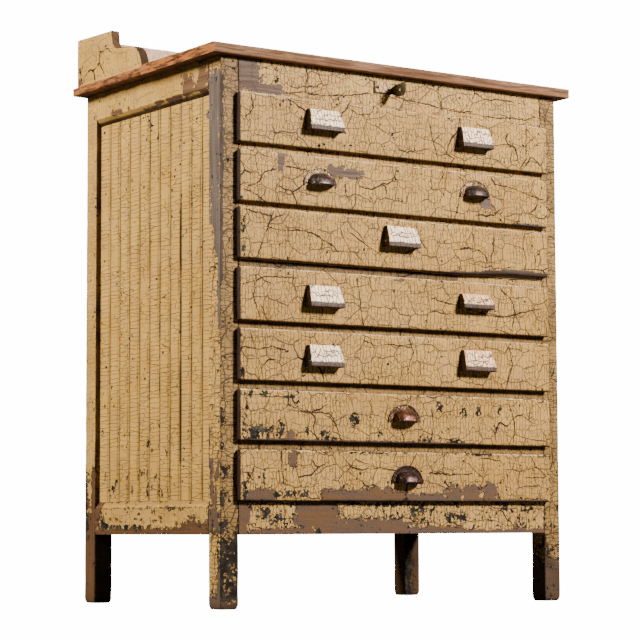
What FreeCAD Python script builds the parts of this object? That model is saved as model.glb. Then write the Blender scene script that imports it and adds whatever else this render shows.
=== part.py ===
import FreeCAD, Part
import math
import os

# A tall type case cabinet: a post-and-rail case with beadboard sides, seven
# drawers with fronts that lie over the case, a two-board top and a gallery.
# Millimetres. +Z is up, +X is to the right of someone who faces the drawers,
# and the drawers open towards -Y. The origin is on the floor, under the
# middle of the whole cabinet.

# ---------------------------------------------------------------- case
case_width = 914.0
case_depth = 582.0
leg_height = 154.0
post_width = 45.0
post_depth = 48.0
post_corner_round = 3.0
foot_round = 2.5

drawer_count = 7
opening_height = 100.0
drawer_rail_height = 25.5
drawer_rail_depth = 32.0
top_rail_height = 79.0
bottom_rail_height = 73.5
front_rail_thickness = 22.0

side_rail_thickness = 22.0
side_top_rail_height = 76.0
rail_chamfer_height = 15.0
panel_recess = 12.0

tenon_length = 22.0
tenon_thickness = 9.0
tenon_shoulder = 12.0
drawer_rail_tenon_shoulder = 6.0
mortise_clearance = 0.15

# ---------------------------------------------------------------- boards
panel_board_count = 11
panel_board_thickness = 10.0
panel_tongue = 8.0
panel_fit_clearance = 0.2
board_gap = 0.3
bead_width = 7.0
bead_quirk = 1.6

back_board_count = 8
back_board_thickness = 10.0
back_rabbet_width = 9.0
back_joint_chamfer = 1.5
back_rail_height = 60.0
back_rail_thickness = 22.0

# ---------------------------------------------------------------- top
top_front_thickness = 22.0
top_rear_thickness = 19.5
top_side_overhang = 28.5
top_front_overhang = 20.0
top_rear_overhang = 18.0
top_rear_board_width = 311.0
top_nose_round = 9.0
top_nose_under_round = 5.0
top_edge_round = 3.0
top_corner_round = 7.0

# ---------------------------------------------------------------- gallery
gallery_thickness = 21.0
gallery_side_inset = 13.0
gallery_height = 115.0
gallery_top_fall = 5.0
gallery_block_length = 158.0
gallery_cove_drop = 16.0
gallery_cove_lean = 3.0
gallery_cove_radius = 29.0
gallery_step_length = 58.0
gallery_step_fall = 7.0
gallery_nose_length = 47.0

# ---------------------------------------------------------------- drawers
front_proud = 16.0
front_rest_gap = 0.3
front_end_overlap = 7.5
front_edge_overlap = 4.0
front_tongue_depth = 10.0
front_round = 4.0
worn_drawer = 3
worn_edge_start = 185.0
worn_edge_bend = 300.0
worn_bend_rise = 6.5
worn_end_rise = 7.0
# how much higher than the rest the lower and upper edge of each slab sits, from drawer 1
FRONT_RISES = [(0.0, 0.0), (0.0, 2.5), (5.0, 7.0), (0.0, 6.0), (0.0, 2.5), (0.0, 0.0), (0.0, 0.0)]
drawer_side_thickness = 12.0
drawer_side_clearance = 1.5
drawer_top_clearance = 3.0
drawer_seat_gap = 0.3
drawer_rear_clearance = 15.0
drawer_back_thickness = 12.0
drawer_back_drop = 6.0
drawer_bottom_thickness = 6.0
drawer_bottom_lift = 10.0
drawer_groove_depth = 5.0
drawer_side_overrun = 12.0
drawer_dado_depth = 4.0
drawer_fit_clearance = 0.2
runner_width = 24.0

# ---------------------------------------------------------------- bin pulls
bin_width_at_lip = 85.0
bin_width_at_top = 78.0
bin_height = 47.0
bin_low_height = 34.0
bin_projection = 28.0
bin_top_ledge = 11.0
bin_lip_height = 9.0
bin_bulge = 1.8
bin_wall = 2.0
bin_ledge_round = 3.0
bin_boss_radius = 4.0
bin_boss_spacing = 50.0
bin_boss_drop = 14.0
bin_bolt_radius = 2.0
bin_bolt_head_radius = 4.0
bin_bolt_head_height = 2.4
bin_bolt_reach = 8.0
bin_bore_spare = 1.0

# ---------------------------------------------------------------- cup pulls
cup_flange_half_width = 43.0
cup_flange_height = 40.0
cup_flange_steps = 14
cup_rim_width = 3.2
cup_rim_thickness = 3.4
cup_flange_thickness = 1.8
cup_dome_half_width = 30.5
cup_dome_radius = 28.0
cup_dome_steps = 12
cup_dome_sides = 8
cup_hollow_steps = 8
cup_hollow_sides = 5
cup_wall = 2.4
cup_screw_height = 5.5
cup_screw_head_radius = 2.9
cup_screw_length = 15.0

# ---------------------------------------------------------------- screws
screw_radius = 1.6
screw_head_height = 1.4
screw_clearance = 0.1
pilot_spare = 1.0
shank_sides = 8
head_sides = 12

# ---------------------------------------------------------------- lock lug
lug_left = -61.0
lug_plate_width = 47.0
lug_plate_height = 26.0
lug_rail_edge_drop = 14.5
lug_thickness = 2.6
lug_reach = 56.0
lug_tab_drop = 8.5
lug_tab_height = 27.0
lug_heel_reach = 28.0
lug_heel_depth = 11.0
lug_neck_height = 10.0
lug_shoulder_reach = 17.0
lug_corner_cut = 7.0
lug_eye_radius = 4.0
lug_eye_reach = 35.5
lug_eye_lift = 15.5
lug_screw_head_radius = 4.2
lug_screw_length = 16.0

# Places of the lug's screws: to the right of and below its plate's upper left corner.
LUG_SCREWS = [(9.0, 12.5), (36.0, 21.5)]

# Which pull each drawer has, from the top: kind, place along the drawer
# and height of the pull's lower edge above the front's lower edge.
PULLS = [
    [("bin", -209.5, 38.5), ("bin", 201.5, 38.5)],
    [("cup", -216.0, 46.0), ("cup", 206.0, 54.0)],
    [("bin", -6.5, 51.5)],
    [("bin", -211.5, 35.0), ("low bin", 199.5, 52.0)],
    [("bin", -211.5, 33.5), ("bin", 202.5, 38.5)],
    [("cup", 4.0, 47.0)],
    [("cup", 11.0, 39.5)],
]

# ---------------------------------------------------------------- places
half_width = case_width / 2
inner_half_width = half_width - post_width
bin_reach = front_proud + bin_projection
cup_reach = front_proud + cup_dome_radius
front_reach = max(lug_reach, bin_reach, cup_reach, top_front_overhang)
whole_depth = front_reach + case_depth + top_rear_overhang
front_plane = front_reach - whole_depth / 2
back_plane = front_plane + case_depth

openings_bottom = leg_height + bottom_rail_height
drawer_pitch = opening_height + drawer_rail_height
openings_top = openings_bottom + drawer_count * drawer_pitch - drawer_rail_height
case_top = openings_top + top_rail_height

panel_bottom = openings_bottom
panel_top = case_top - side_top_rail_height
panel_face = half_width - panel_recess
panel_back = panel_face - panel_board_thickness
side_span_front = front_plane + post_depth
side_span_back = back_plane - post_depth

back_board_front = back_plane - back_board_thickness
runner_inner = inner_half_width - runner_width

top_joint = back_plane + top_rear_overhang - top_rear_board_width
top_half_width = half_width + top_side_overhang
rear_board_top = case_top + top_rear_thickness
gallery_outer = top_half_width - gallery_side_inset
gallery_inner = gallery_outer - gallery_thickness
gallery_back_plane = back_plane + top_rear_overhang

front_half_width = inner_half_width + front_end_overlap
front_face = front_plane - front_proud
front_back = front_plane - front_rest_gap
box_half_width = inner_half_width - drawer_side_clearance
tongue_half_width = box_half_width - drawer_side_thickness
drawer_back_end = back_board_front - drawer_rear_clearance


def opening_floor(number):
    """Height of the floor of a drawer's opening. Drawer 1 is at the top."""
    return openings_bottom + (drawer_count - number) * drawer_pitch


def box(x0, x1, y0, y1, z0, z1):
    """A block between two opposite corners, in either order along X."""
    low = min(x0, x1)
    corner = FreeCAD.Vector(low, y0, z0)
    return Part.makeBox(abs(x1 - x0), y1 - y0, z1 - z0, corner)


def prism(points, travel):
    """A straight bar whose section is the polygon through the points."""
    outline = Part.makePolygon(points + [points[0]])
    return Part.Face(outline).extrude(travel)


def pin(x, z, y0, y1, radius, sides):
    """A thin bar along Y between two depths, round but for its few sides."""
    points = []
    for corner in range(sides):
        angle = 2 * math.pi * corner / sides
        points.append(FreeCAD.Vector(x + radius * math.cos(angle), y0,
                                     z + radius * math.sin(angle)))
    return prism(points, FreeCAD.Vector(0, y1 - y0, 0))


def mirrored(shape):
    """The same piece on the other side of the cabinet's middle plane."""
    origin = FreeCAD.Vector(0, 0, 0)
    return shape.mirror(origin, FreeCAD.Vector(1, 0, 0))


def rounded(shape, radius, wanted):
    """Round the straight edges whose middle point and direction are wanted."""
    chosen = []
    for edge in shape.Edges:
        if not isinstance(edge.Curve, Part.Line):
            continue
        run = edge.Vertexes[1].Point - edge.Vertexes[0].Point
        run.normalize()
        if wanted(edge.CenterOfMass, run):
            chosen.append(edge)
    return shape.makeFillet(radius, chosen)


def near(a, b):
    return abs(a - b) < 0.01


def save(name, solids):
    """Write one sub-part; several like solids go out as one group."""
    shape = solids[0] if len(solids) == 1 else Part.makeCompound(solids)
    shape.exportStep("parts/" + name + ".step")


# ---------------------------------------------------------------- case frame
def tenon_band():
    """Depth range of the front rails' tenons, measured from the front."""
    low = front_plane + (front_rail_thickness - tenon_thickness) / 2
    return low, low + tenon_thickness


def front_tenon(side, z0, z1, loose):
    """Tenon at one end of a front rail, or with loose set, its mortise."""
    y0, y1 = tenon_band()
    root = side * inner_half_width
    tip = side * (inner_half_width + tenon_length + loose)
    return box(root, tip, y0 - loose, y1 + loose, z0 - loose, z1 + loose)


def side_tenon(at_front, z0, z1, loose):
    """Tenon at one end of a left-hand side rail, or its mortise."""
    middle = half_width - side_rail_thickness / 2
    x0 = -middle - tenon_thickness / 2 - loose
    x1 = -middle + tenon_thickness / 2 + loose
    length = tenon_length + loose
    y0 = side_span_front - length if at_front else side_span_back
    return box(x0, x1, y0, y0 + length, z0 - loose, z1 + loose)


def front_rail_heights():
    """Lower and upper tenon heights of every rail across the front."""
    heights = []
    for number in range(1, drawer_count):
        z0 = opening_floor(number) - drawer_rail_height
        inset = drawer_rail_tenon_shoulder
        heights.append((z0 + inset, z0 + drawer_rail_height - inset))
    heights.append((leg_height + tenon_shoulder, openings_bottom - tenon_shoulder))
    heights.append((openings_top + tenon_shoulder, case_top - tenon_shoulder))
    return heights


def side_rail_heights():
    """Lower and upper tenon heights of the two rails of one side."""
    low = (leg_height + tenon_shoulder, openings_bottom - tenon_shoulder)
    high = (panel_top + tenon_shoulder, case_top - tenon_shoulder)
    return [low, high]


def panel_groove(at_front):
    """Groove in a left-hand post that takes the edge of the side panel."""
    loose = panel_fit_clearance
    depth = panel_tongue + loose
    y0 = side_span_front - depth if at_front else side_span_back
    z0 = panel_bottom - panel_tongue - loose
    z1 = panel_top + panel_tongue + loose
    return box(-panel_face - loose, -panel_back + loose, y0, y0 + depth, z0, z1)


def post(at_front):
    """A left-hand corner post, from the floor to the top."""
    y0 = front_plane if at_front else side_span_back
    y1 = y0 + post_depth
    shape = box(-half_width, -inner_half_width, y0, y1, 0, case_top)
    outer_y = y0 if at_front else y1

    def outer_corner(middle, run):
        return near(middle.x, -half_width) and near(middle.y, outer_y) and near(abs(run.z), 1)

    shape = rounded(shape, post_corner_round, outer_corner)
    foot = [edge for edge in shape.Edges if near(edge.CenterOfMass.z, 0)]
    shape = shape.makeChamfer(foot_round, foot)
    for z0, z1 in side_rail_heights():
        shape = shape.cut(side_tenon(at_front, z0, z1, mortise_clearance))
    shape = shape.cut(panel_groove(at_front))
    if at_front:
        for z0, z1 in front_rail_heights():
            shape = shape.cut(front_tenon(-1, z0, z1, mortise_clearance))
    else:
        edge_of_boards = -inner_half_width - back_rabbet_width
        rabbet = box(edge_of_boards, -inner_half_width, back_board_front, back_plane,
                     leg_height, case_top)
        shape = shape.cut(rabbet)
    return shape


def front_rail(z0, z1, depth, tenon_heights):
    """A rail between the front posts, with a tenon at each end."""
    shape = box(-inner_half_width, inner_half_width, front_plane, front_plane + depth, z0, z1)
    for side in (-1, 1):
        shape = shape.fuse(front_tenon(side, tenon_heights[0], tenon_heights[1], 0))
    return shape.removeSplitter()


def side_rail(z0, z1, chamfer_below, tenon_heights):
    """A left-hand side rail: chamfered towards the panel and rabbeted for it."""
    outer = -half_width
    inner = -half_width + side_rail_thickness
    face = -panel_face
    if chamfer_below:
        far, near_panel, step = z1, z0, rail_chamfer_height
        lap = z0 + panel_tongue + panel_fit_clearance
    else:
        far, near_panel, step = z0, z1, -rail_chamfer_height
        lap = z1 - panel_tongue - panel_fit_clearance
    section = [
        (outer, far), (outer, near_panel + step), (face, near_panel), (face, lap), (inner, lap),
        (inner, far),
    ]
    points = [FreeCAD.Vector(x, side_span_front, z) for x, z in section]
    travel = FreeCAD.Vector(0, side_span_back - side_span_front, 0)
    shape = prism(points, travel)
    for at_front in (True, False):
        shape = shape.fuse(side_tenon(at_front, tenon_heights[0], tenon_heights[1], 0))
    return shape.removeSplitter()


def back_rail(z0, z1):
    """A plain rail between the rear posts that the back boards are nailed to."""
    y1 = back_board_front
    return box(-inner_half_width, inner_half_width, y1 - back_rail_thickness, y1, z0, z1)


def frame_rails():
    """The four side rails and the two back rails."""
    low, high = side_rail_heights()
    left_low = side_rail(leg_height, openings_bottom, False, low)
    left_high = side_rail(panel_top, case_top, True, high)
    rails = [left_low, left_high, mirrored(left_low), mirrored(left_high)]
    rails.append(back_rail(leg_height, leg_height + back_rail_height))
    rails.append(back_rail(case_top - back_rail_height, case_top))
    return rails


def drawer_rails():
    """The rails between neighbouring drawers."""
    rails = []
    heights = front_rail_heights()
    for number in range(1, drawer_count):
        z1 = opening_floor(number)
        z0 = z1 - drawer_rail_height
        rails.append(front_rail(z0, z1, drawer_rail_depth, heights[number - 1]))
    return rails


def runners():
    """Strips that each drawer slides on, and the pair above the top drawer."""
    strips = []
    for number in range(0, drawer_count + 1):
        z1 = opening_floor(number) if number else openings_top + drawer_rail_height
        at_rail = 0 < number < drawer_count
        start = drawer_rail_depth if at_rail else front_rail_thickness
        for side in (-1, 1):
            strips.append(box(side * inner_half_width, side * runner_inner, front_plane + start,
                              back_board_front - back_rail_thickness,
                              z1 - drawer_rail_height, z1))
    return strips


# ---------------------------------------------------------------- boards
def bead_board(y0, y1, first, last):
    """One left-hand beadboard strip: a bead along its front edge, a chamfer behind."""
    face = -panel_face
    back = -panel_back
    start = y0 - panel_tongue if first else y0 + board_gap / 2
    end = y1 + panel_tongue if last else y1 - board_gap / 2
    z0 = panel_bottom - panel_tongue
    height = panel_top - panel_bottom + 2 * panel_tongue

    def at(x, y):
        return FreeCAD.Vector(x, y, z0)

    bead_start = y0 + board_gap / 2
    bead_end = bead_start + bead_width
    crown = at(face, (bead_start + bead_end) / 2)
    quirk_side = at(face + bead_quirk, bead_end)
    edges = []
    if first:
        corner = at(face, start)
        after_bead = corner
    else:
        corner = at(face + bead_quirk, bead_start)
        edges.append(Part.Arc(corner, crown, quirk_side).toShape())
        after_bead = at(face, bead_end + bead_quirk)
        edges.append(Part.makeLine(quirk_side, after_bead))
    if last:
        edges.append(Part.makeLine(after_bead, at(face, end)))
        tail = at(face, end)
    else:
        shoulder = at(face, end - bead_quirk)
        tail = at(face + bead_quirk, end)
        edges.append(Part.makeLine(after_bead, shoulder))
        edges.append(Part.makeLine(shoulder, tail))
    edges.append(Part.makeLine(tail, at(back, end)))
    edges.append(Part.makeLine(at(back, end), at(back, start)))
    edges.append(Part.makeLine(at(back, start), corner))
    outline = Part.Wire(edges)
    return Part.Face(outline).extrude(FreeCAD.Vector(0, 0, height))


def side_panel():
    """The left-hand beadboard panel."""
    pitch = (side_span_back - side_span_front) / panel_board_count
    boards = []
    for index in range(panel_board_count):
        y0 = side_span_front + index * pitch
        boards.append(bead_board(y0, y0 + pitch, index == 0, index == panel_board_count - 1))
    return boards


def back_boards():
    """Upright boards that close the back, each with chamfered joints."""
    half_span = inner_half_width + back_rabbet_width - panel_fit_clearance
    pitch = 2 * half_span / back_board_count
    cut = back_joint_chamfer
    boards = []
    for index in range(back_board_count):
        x0 = -half_span + index * pitch + board_gap / 2
        x1 = x0 + pitch - board_gap
        section = [(x0, back_board_front), (x1, back_board_front), (x1, back_plane - cut),
                   (x1 - cut, back_plane), (x0 + cut, back_plane), (x0, back_plane - cut)]
        points = [FreeCAD.Vector(x, y, leg_height) for x, y in section]
        boards.append(prism(points, FreeCAD.Vector(0, 0, case_top - leg_height)))
    return boards


# ---------------------------------------------------------------- top
def top_front_board():
    """The front half of the top, nosed over where it meets the rear half."""
    y0 = front_plane - top_front_overhang
    z1 = case_top + top_front_thickness
    shape = box(-top_half_width, top_half_width, y0, top_joint, case_top, z1)

    def front_edges(middle, run):
        return near(middle.y, y0) and near(abs(run.x), 1)

    def nose_top(middle, run):
        return near(middle.y, top_joint) and near(middle.z, z1) and near(abs(run.x), 1)

    def nose_under(middle, run):
        return near(middle.y, top_joint) and near(middle.z, case_top) and near(abs(run.x), 1)

    shape = rounded(shape, top_edge_round, front_edges)
    shape = rounded(shape, top_nose_round, nose_top)
    return rounded(shape, top_nose_under_round, nose_under)


def top_rear_board():
    """The rear half of the top, with its two outer corners rounded in plan."""
    y1 = back_plane + top_rear_overhang
    shape = box(-top_half_width, top_half_width, top_joint + board_gap, y1, case_top,
                rear_board_top)

    def outer_corners(middle, run):
        return near(middle.y, y1) and near(abs(run.z), 1)

    return rounded(shape, top_corner_round, outer_corners)


# ---------------------------------------------------------------- gallery
def gallery_side():
    """The left gallery bracket: block, cove, sloping step and rounded nose."""
    base = rear_board_top
    back = gallery_back_plane

    def at(reach, height):
        return FreeCAD.Vector(-gallery_outer, back - reach, base + height)

    block_front = gallery_height - gallery_top_fall
    lip_reach = gallery_block_length + gallery_cove_lean
    lip_height = block_front - gallery_cove_drop
    cove_reach = lip_reach + gallery_cove_radius
    cove_height = lip_height - gallery_cove_radius
    bend = gallery_cove_radius * (1 - math.cos(math.radians(45)))
    step_reach = cove_reach + gallery_step_length
    step_height = cove_height - gallery_step_fall
    tip_reach = step_reach + gallery_nose_length
    slant = math.sin(math.radians(45))
    nose_reach = step_reach + gallery_nose_length * slant
    nose_height = step_height * slant
    edges = [
        Part.makeLine(at(0, 0), at(0, gallery_height)),
        Part.makeLine(at(0, gallery_height), at(gallery_block_length, block_front)),
        Part.makeLine(at(gallery_block_length, block_front), at(lip_reach, lip_height)),
        Part.Arc(at(lip_reach, lip_height), at(lip_reach + bend, cove_height + bend),
                 at(cove_reach, cove_height)).toShape(),
        Part.makeLine(at(cove_reach, cove_height), at(step_reach, step_height)),
        Part.Arc(at(step_reach, step_height), at(nose_reach, nose_height),
                 at(tip_reach, 0)).toShape(),
        Part.makeLine(at(tip_reach, 0), at(0, 0)),
    ]
    return Part.Face(Part.Wire(edges)).extrude(FreeCAD.Vector(gallery_thickness, 0, 0))


def gallery_back():
    """The board across the back of the top, between the two brackets."""
    y1 = gallery_back_plane
    z1 = rear_board_top + gallery_height
    return box(-gallery_inner, gallery_inner, y1 - gallery_thickness, y1, rear_board_top, z1)


# ---------------------------------------------------------------- hardware
def wood_screw(x, y, z, head_radius, length):
    """A screw driven in from the front; y is the face that its head bears on."""
    head = pin(x, z, y - screw_head_height, y, head_radius, head_sides)
    return head.fuse(pin(x, z, y, y + length, screw_radius, shank_sides))


def bin_bolt(x, z):
    """A bolt from inside a drawer, through its front into a pull's boss."""
    inside = front_back + front_tongue_depth
    head = pin(x, z, inside, inside + bin_bolt_head_height, bin_bolt_head_radius, head_sides)
    tip = front_face - bin_bolt_reach
    return head.fuse(pin(x, z, tip, inside, bin_bolt_radius, shank_sides))


def bin_shell(height, inset):
    """The wedge of a bin pull; with inset set, the hollow inside its walls."""
    top = height - inset
    ledge = bin_top_ledge
    front = bin_projection - inset
    under = -inset
    back = inset

    def at(reach, z):
        return FreeCAD.Vector(0, -reach, z)

    middle = at((ledge + front) / 2 + bin_bulge, (top + bin_lip_height) / 2 + bin_bulge)
    edges = [
        Part.makeLine(at(-back, under), at(-back, top)),
        Part.makeLine(at(-back, top), at(ledge, top)),
        Part.Arc(at(ledge, top), middle, at(front, bin_lip_height)).toShape(),
        Part.makeLine(at(front, bin_lip_height), at(front, under)),
        Part.makeLine(at(front, under), at(-back, under)),
    ]
    half_lip = bin_width_at_lip / 2 - inset
    half_top = bin_width_at_top / 2 - inset
    side_view = Part.Face(Part.Wire(edges))
    side_view.translate(FreeCAD.Vector(-bin_width_at_lip, 0, 0))
    bar = side_view.extrude(FreeCAD.Vector(2 * bin_width_at_lip, 0, 0))
    front_view = [(-half_lip, under), (half_lip, under), (half_lip, bin_lip_height),
                  (half_top, top), (-half_top, top), (-half_lip, bin_lip_height)]
    depth = bin_projection + bin_wall
    points = [FreeCAD.Vector(x, -depth, z) for x, z in front_view]
    return bar.common(prism(points, FreeCAD.Vector(0, 2 * depth, 0)))


def bin_pull(height):
    """A wedge-shaped bin pull, open below and behind, with two bosses inside."""
    outside = bin_shell(height, 0)

    def ledge_edge(middle, run):
        return near(middle.y, -bin_top_ledge) and near(middle.z, height) and near(abs(run.x), 1)

    outside = rounded(outside, bin_ledge_round, ledge_edge)
    shape = outside.cut(bin_shell(height, bin_wall))
    boss_z = height - bin_boss_drop
    for x in bin_bolt_places():
        boss = pin(x, boss_z, -bin_projection, 0, bin_boss_radius, head_sides)
        shape = shape.fuse(boss.common(outside))
        bore_end = -bin_bolt_reach - bin_bore_spare
        shape = shape.cut(pin(x, boss_z, bore_end, 0, bin_bolt_radius + screw_clearance,
                              shank_sides))
    return shape.removeSplitter()


def half_oval(half_length, reach, steps):
    """Points of half an ellipse about the origin, from left to right."""
    points = []
    for step in range(steps + 1):
        angle = math.pi * step / steps
        points.append((-half_length * math.cos(angle), reach * math.sin(angle)))
    return points


def flange_plate(inset, y0, y1):
    """A plate of the cup pull's outline, less an inset, that stands on its flat side."""
    outline = half_oval(cup_flange_half_width - inset, cup_flange_height - inset,
                        cup_flange_steps)
    points = [FreeCAD.Vector(x, y1, z) for x, z in outline]
    return prism(points, FreeCAD.Vector(0, y0 - y1, 0))


def quarter_spindle(half_length, radius, steps, sides):
    """A quarter of a spindle along X: flat facets between quarter rings of an oval's radii."""
    rings = []
    for x, reach in half_oval(half_length, radius, steps)[1:-1]:
        ring = [FreeCAD.Vector(x, 0, 0)]
        for side in range(sides + 1):
            angle = math.pi / 2 * side / sides
            ring.append(FreeCAD.Vector(x, -reach * math.sin(angle), reach * math.cos(angle)))
        rings.append(ring + [ring[0]])
    outlines = [rings[0], rings[-1]]
    for left, right in zip(rings, rings[1:]):
        for side in range(sides + 2):
            outlines.append([left[side], left[side + 1], right[side + 1], right[side],
                             left[side]])
    faces = [Part.Face(Part.makePolygon(outline)) for outline in outlines]
    return Part.makeSolid(Part.makeShell(faces)).removeSplitter()


def cup_pull():
    """A half-round cup pull: rimmed flange, groove and dome, open below and behind."""
    rim = flange_plate(0, -cup_rim_thickness, 0)
    sunk = flange_plate(cup_rim_width, -cup_rim_thickness, -cup_flange_thickness)
    dome = quarter_spindle(cup_dome_half_width, cup_dome_radius, cup_dome_steps,
                           cup_dome_sides)
    hollow = quarter_spindle(cup_dome_half_width - cup_wall, cup_dome_radius - cup_wall,
                             cup_hollow_steps, cup_hollow_sides)
    shape = rim.cut(sunk).fuse(dome).cut(hollow)
    for x in cup_screw_places():
        shape = shape.cut(pin(x, cup_screw_height, -cup_rim_thickness, 0,
                              screw_radius + screw_clearance, shank_sides))
    return shape.removeSplitter()


def cup_screw_places():
    """The two screws stand in the groove, at the flange's lower ends."""
    reach = (cup_flange_half_width - cup_rim_width + cup_dome_half_width) / 2
    return (-reach, reach)


def bin_bolt_places():
    return (-bin_boss_spacing / 2, bin_boss_spacing / 2)


def bin_height_of(kind):
    return bin_low_height if kind == "low bin" else bin_height


def lock_lug():
    """A bent iron strip: a plate on the rail and a tab with an eye for a padlock."""
    z1 = case_top - lug_rail_edge_drop
    z0 = z1 - lug_plate_height
    face = front_plane - lug_thickness
    right = lug_left + lug_plate_width
    plate = box(lug_left, right, face, front_plane, z0, z1)
    tab_x = right - lug_thickness
    low = z0 - lug_tab_drop
    high = low + lug_tab_height
    cut = lug_corner_cut
    outline = [
        (0, low + lug_heel_depth), (0, low + lug_heel_depth + lug_neck_height),
        (lug_shoulder_reach, high), (lug_reach - cut / 2, high), (lug_reach, high - cut / 2),
        (lug_reach, low + cut), (lug_reach - cut, low), (lug_heel_reach, low),
    ]
    points = [FreeCAD.Vector(tab_x, front_plane - reach, z) for reach, z in outline]
    tab = prism(points, FreeCAD.Vector(lug_thickness, 0, 0))
    eye = FreeCAD.Vector(tab_x, front_plane - lug_eye_reach, low + lug_eye_lift)
    hole = Part.makeCylinder(lug_eye_radius, lug_thickness, eye, FreeCAD.Vector(1, 0, 0))
    shape = plate.fuse(tab).cut(hole)
    for x, z in lug_screw_places():
        shape = shape.cut(pin(x, z, face, front_plane, screw_radius + screw_clearance,
                              shank_sides))
    return shape.removeSplitter()


def lug_screw_places():
    z1 = case_top - lug_rail_edge_drop
    return [(lug_left + across, z1 - down) for across, down in LUG_SCREWS]


def front_top_rail():
    """The deep rail under the top, drilled for the lug's two screws."""
    heights = front_rail_heights()[-1]
    shape = front_rail(openings_top, case_top, front_rail_thickness, heights)
    depth = lug_screw_length - lug_thickness + pilot_spare
    for x, z in lug_screw_places():
        shape = shape.cut(pin(x, z, front_plane, front_plane + depth,
                              screw_radius + screw_clearance, shank_sides))
    return shape


# ---------------------------------------------------------------- drawers
def drawer_heights(number):
    """Lower and upper edge of a drawer's sides."""
    floor = opening_floor(number)
    return floor + drawer_seat_gap, floor + opening_height - drawer_top_clearance


def front_bottom_edge(number):
    return opening_floor(number) - front_edge_overlap


def drawer_front(number):
    """A drawer front: a rounded slab over the case and a tongue inside it.

    One slab has lost a long splinter from the right of its lower edge.
    """
    z0 = front_bottom_edge(number)
    low_rise, high_rise = FRONT_RISES[number - 1]
    slab_low = z0 + low_rise
    slab_high = z0 + opening_height + 2 * front_edge_overlap + high_rise
    half = front_half_width
    outline = [(-half, slab_low), (half, slab_low), (half, slab_high), (-half, slab_high)]
    if number == worn_drawer:
        outline[1:2] = [(worn_edge_start, slab_low),
                        (worn_edge_bend, slab_low + worn_bend_rise),
                        (half, slab_low + worn_end_rise)]
    corners = [FreeCAD.Vector(x, front_face, z) for x, z in outline]
    slab = prism(corners, FreeCAD.Vector(0, front_back - front_face, 0))

    def long_edges(middle, run):
        return near(middle.y, front_face) and abs(run.x) > abs(run.z)

    slab = rounded(slab, front_round, long_edges)
    low, high = drawer_heights(number)
    tongue_back = front_back + front_tongue_depth
    tongue = box(-tongue_half_width, tongue_half_width, front_back, tongue_back, low, high)
    shape = slab.fuse(tongue)
    loose = drawer_fit_clearance
    groove = box(-tongue_half_width, tongue_half_width,
                 tongue_back - drawer_groove_depth - loose, tongue_back,
                 low + drawer_bottom_lift - loose,
                 low + drawer_bottom_lift + drawer_bottom_thickness + loose)
    shape = shape.cut(groove)
    for kind, x, lift in PULLS[number - 1]:
        if kind == "cup":
            height = z0 + lift + cup_screw_height
            end = front_face - cup_flange_thickness + cup_screw_length + pilot_spare
            for reach in cup_screw_places():
                shape = shape.cut(pin(x + reach, height, front_face, end,
                                      screw_radius + screw_clearance, shank_sides))
        else:
            height = z0 + lift + bin_height_of(kind) - bin_boss_drop
            for reach in bin_bolt_places():
                shape = shape.cut(pin(x + reach, height, front_face, tongue_back,
                                      bin_bolt_radius + screw_clearance, shank_sides))
    return shape.removeSplitter()


def drawer_side(number):
    """The left-hand side of a drawer, grooved for the bottom and the back."""
    low, high = drawer_heights(number)
    shape = box(-box_half_width, -tongue_half_width, front_back, drawer_back_end, low, high)
    loose = drawer_fit_clearance
    groove_x = -tongue_half_width - drawer_groove_depth - loose
    groove_z = low + drawer_bottom_lift - loose
    groove_top = groove_z + drawer_bottom_thickness + 2 * loose
    groove = box(groove_x, -tongue_half_width, front_back + front_tongue_depth
                 - drawer_groove_depth - loose, drawer_back_end, groove_z, groove_top)
    dado_x = -tongue_half_width - drawer_dado_depth - loose
    dado_y = drawer_back_end - drawer_back_thickness - drawer_side_overrun - loose
    dado = box(dado_x, -tongue_half_width, dado_y, dado_y + drawer_back_thickness + 2 * loose,
               groove_top, high)
    return shape.cut(groove).cut(dado)


def drawer_back(number):
    """The back of a drawer, housed in the sides and standing on the bottom."""
    low, high = drawer_heights(number)
    half = tongue_half_width + drawer_dado_depth
    y1 = drawer_back_end - drawer_side_overrun
    z0 = low + drawer_bottom_lift + drawer_bottom_thickness + drawer_fit_clearance
    return box(-half, half, y1 - drawer_back_thickness, y1, z0, high - drawer_back_drop)


def drawer_bottom(number):
    """The thin bottom of a drawer, let into the front and the sides."""
    low, high = drawer_heights(number)
    half = tongue_half_width + drawer_groove_depth
    y0 = front_back + front_tongue_depth - drawer_groove_depth
    z0 = low + drawer_bottom_lift
    return box(-half, half, y0, drawer_back_end, z0, z0 + drawer_bottom_thickness)


def drawer_pulls(number):
    """The pulls of a drawer, set on its front, and what fastens them."""
    pulls = []
    fasteners = []
    z0 = front_bottom_edge(number)
    for kind, x, lift in PULLS[number - 1]:
        if kind == "cup":
            pull = cup_pull()
            for reach in cup_screw_places():
                fasteners.append(wood_screw(x + reach, front_face - cup_flange_thickness,
                                            z0 + lift + cup_screw_height,
                                            cup_screw_head_radius, cup_screw_length))
        else:
            height = bin_height_of(kind)
            pull = bin_pull(height)
            for reach in bin_bolt_places():
                fasteners.append(bin_bolt(x + reach, z0 + lift + height - bin_boss_drop))
        pull.translate(FreeCAD.Vector(x, front_face, z0 + lift))
        pulls.append(pull)
    return pulls, fasteners


# ---------------------------------------------------------------- assembly
os.makedirs("parts", exist_ok=True)

front_post = post(True)
rear_post = post(False)
save("post_front_left", [front_post])
save("post_front_right", [mirrored(front_post)])
save("post_rear_left", [rear_post])
save("post_rear_right", [mirrored(rear_post)])

save("front_top_rail", [front_top_rail()])
bottom_rail = front_rail(leg_height, openings_bottom, front_rail_thickness,
                         front_rail_heights()[-2])
save("front_bottom_rail", [bottom_rail])
save("drawer_rails", drawer_rails())
save("frame_rails", frame_rails())
save("drawer_runners", runners())

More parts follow.
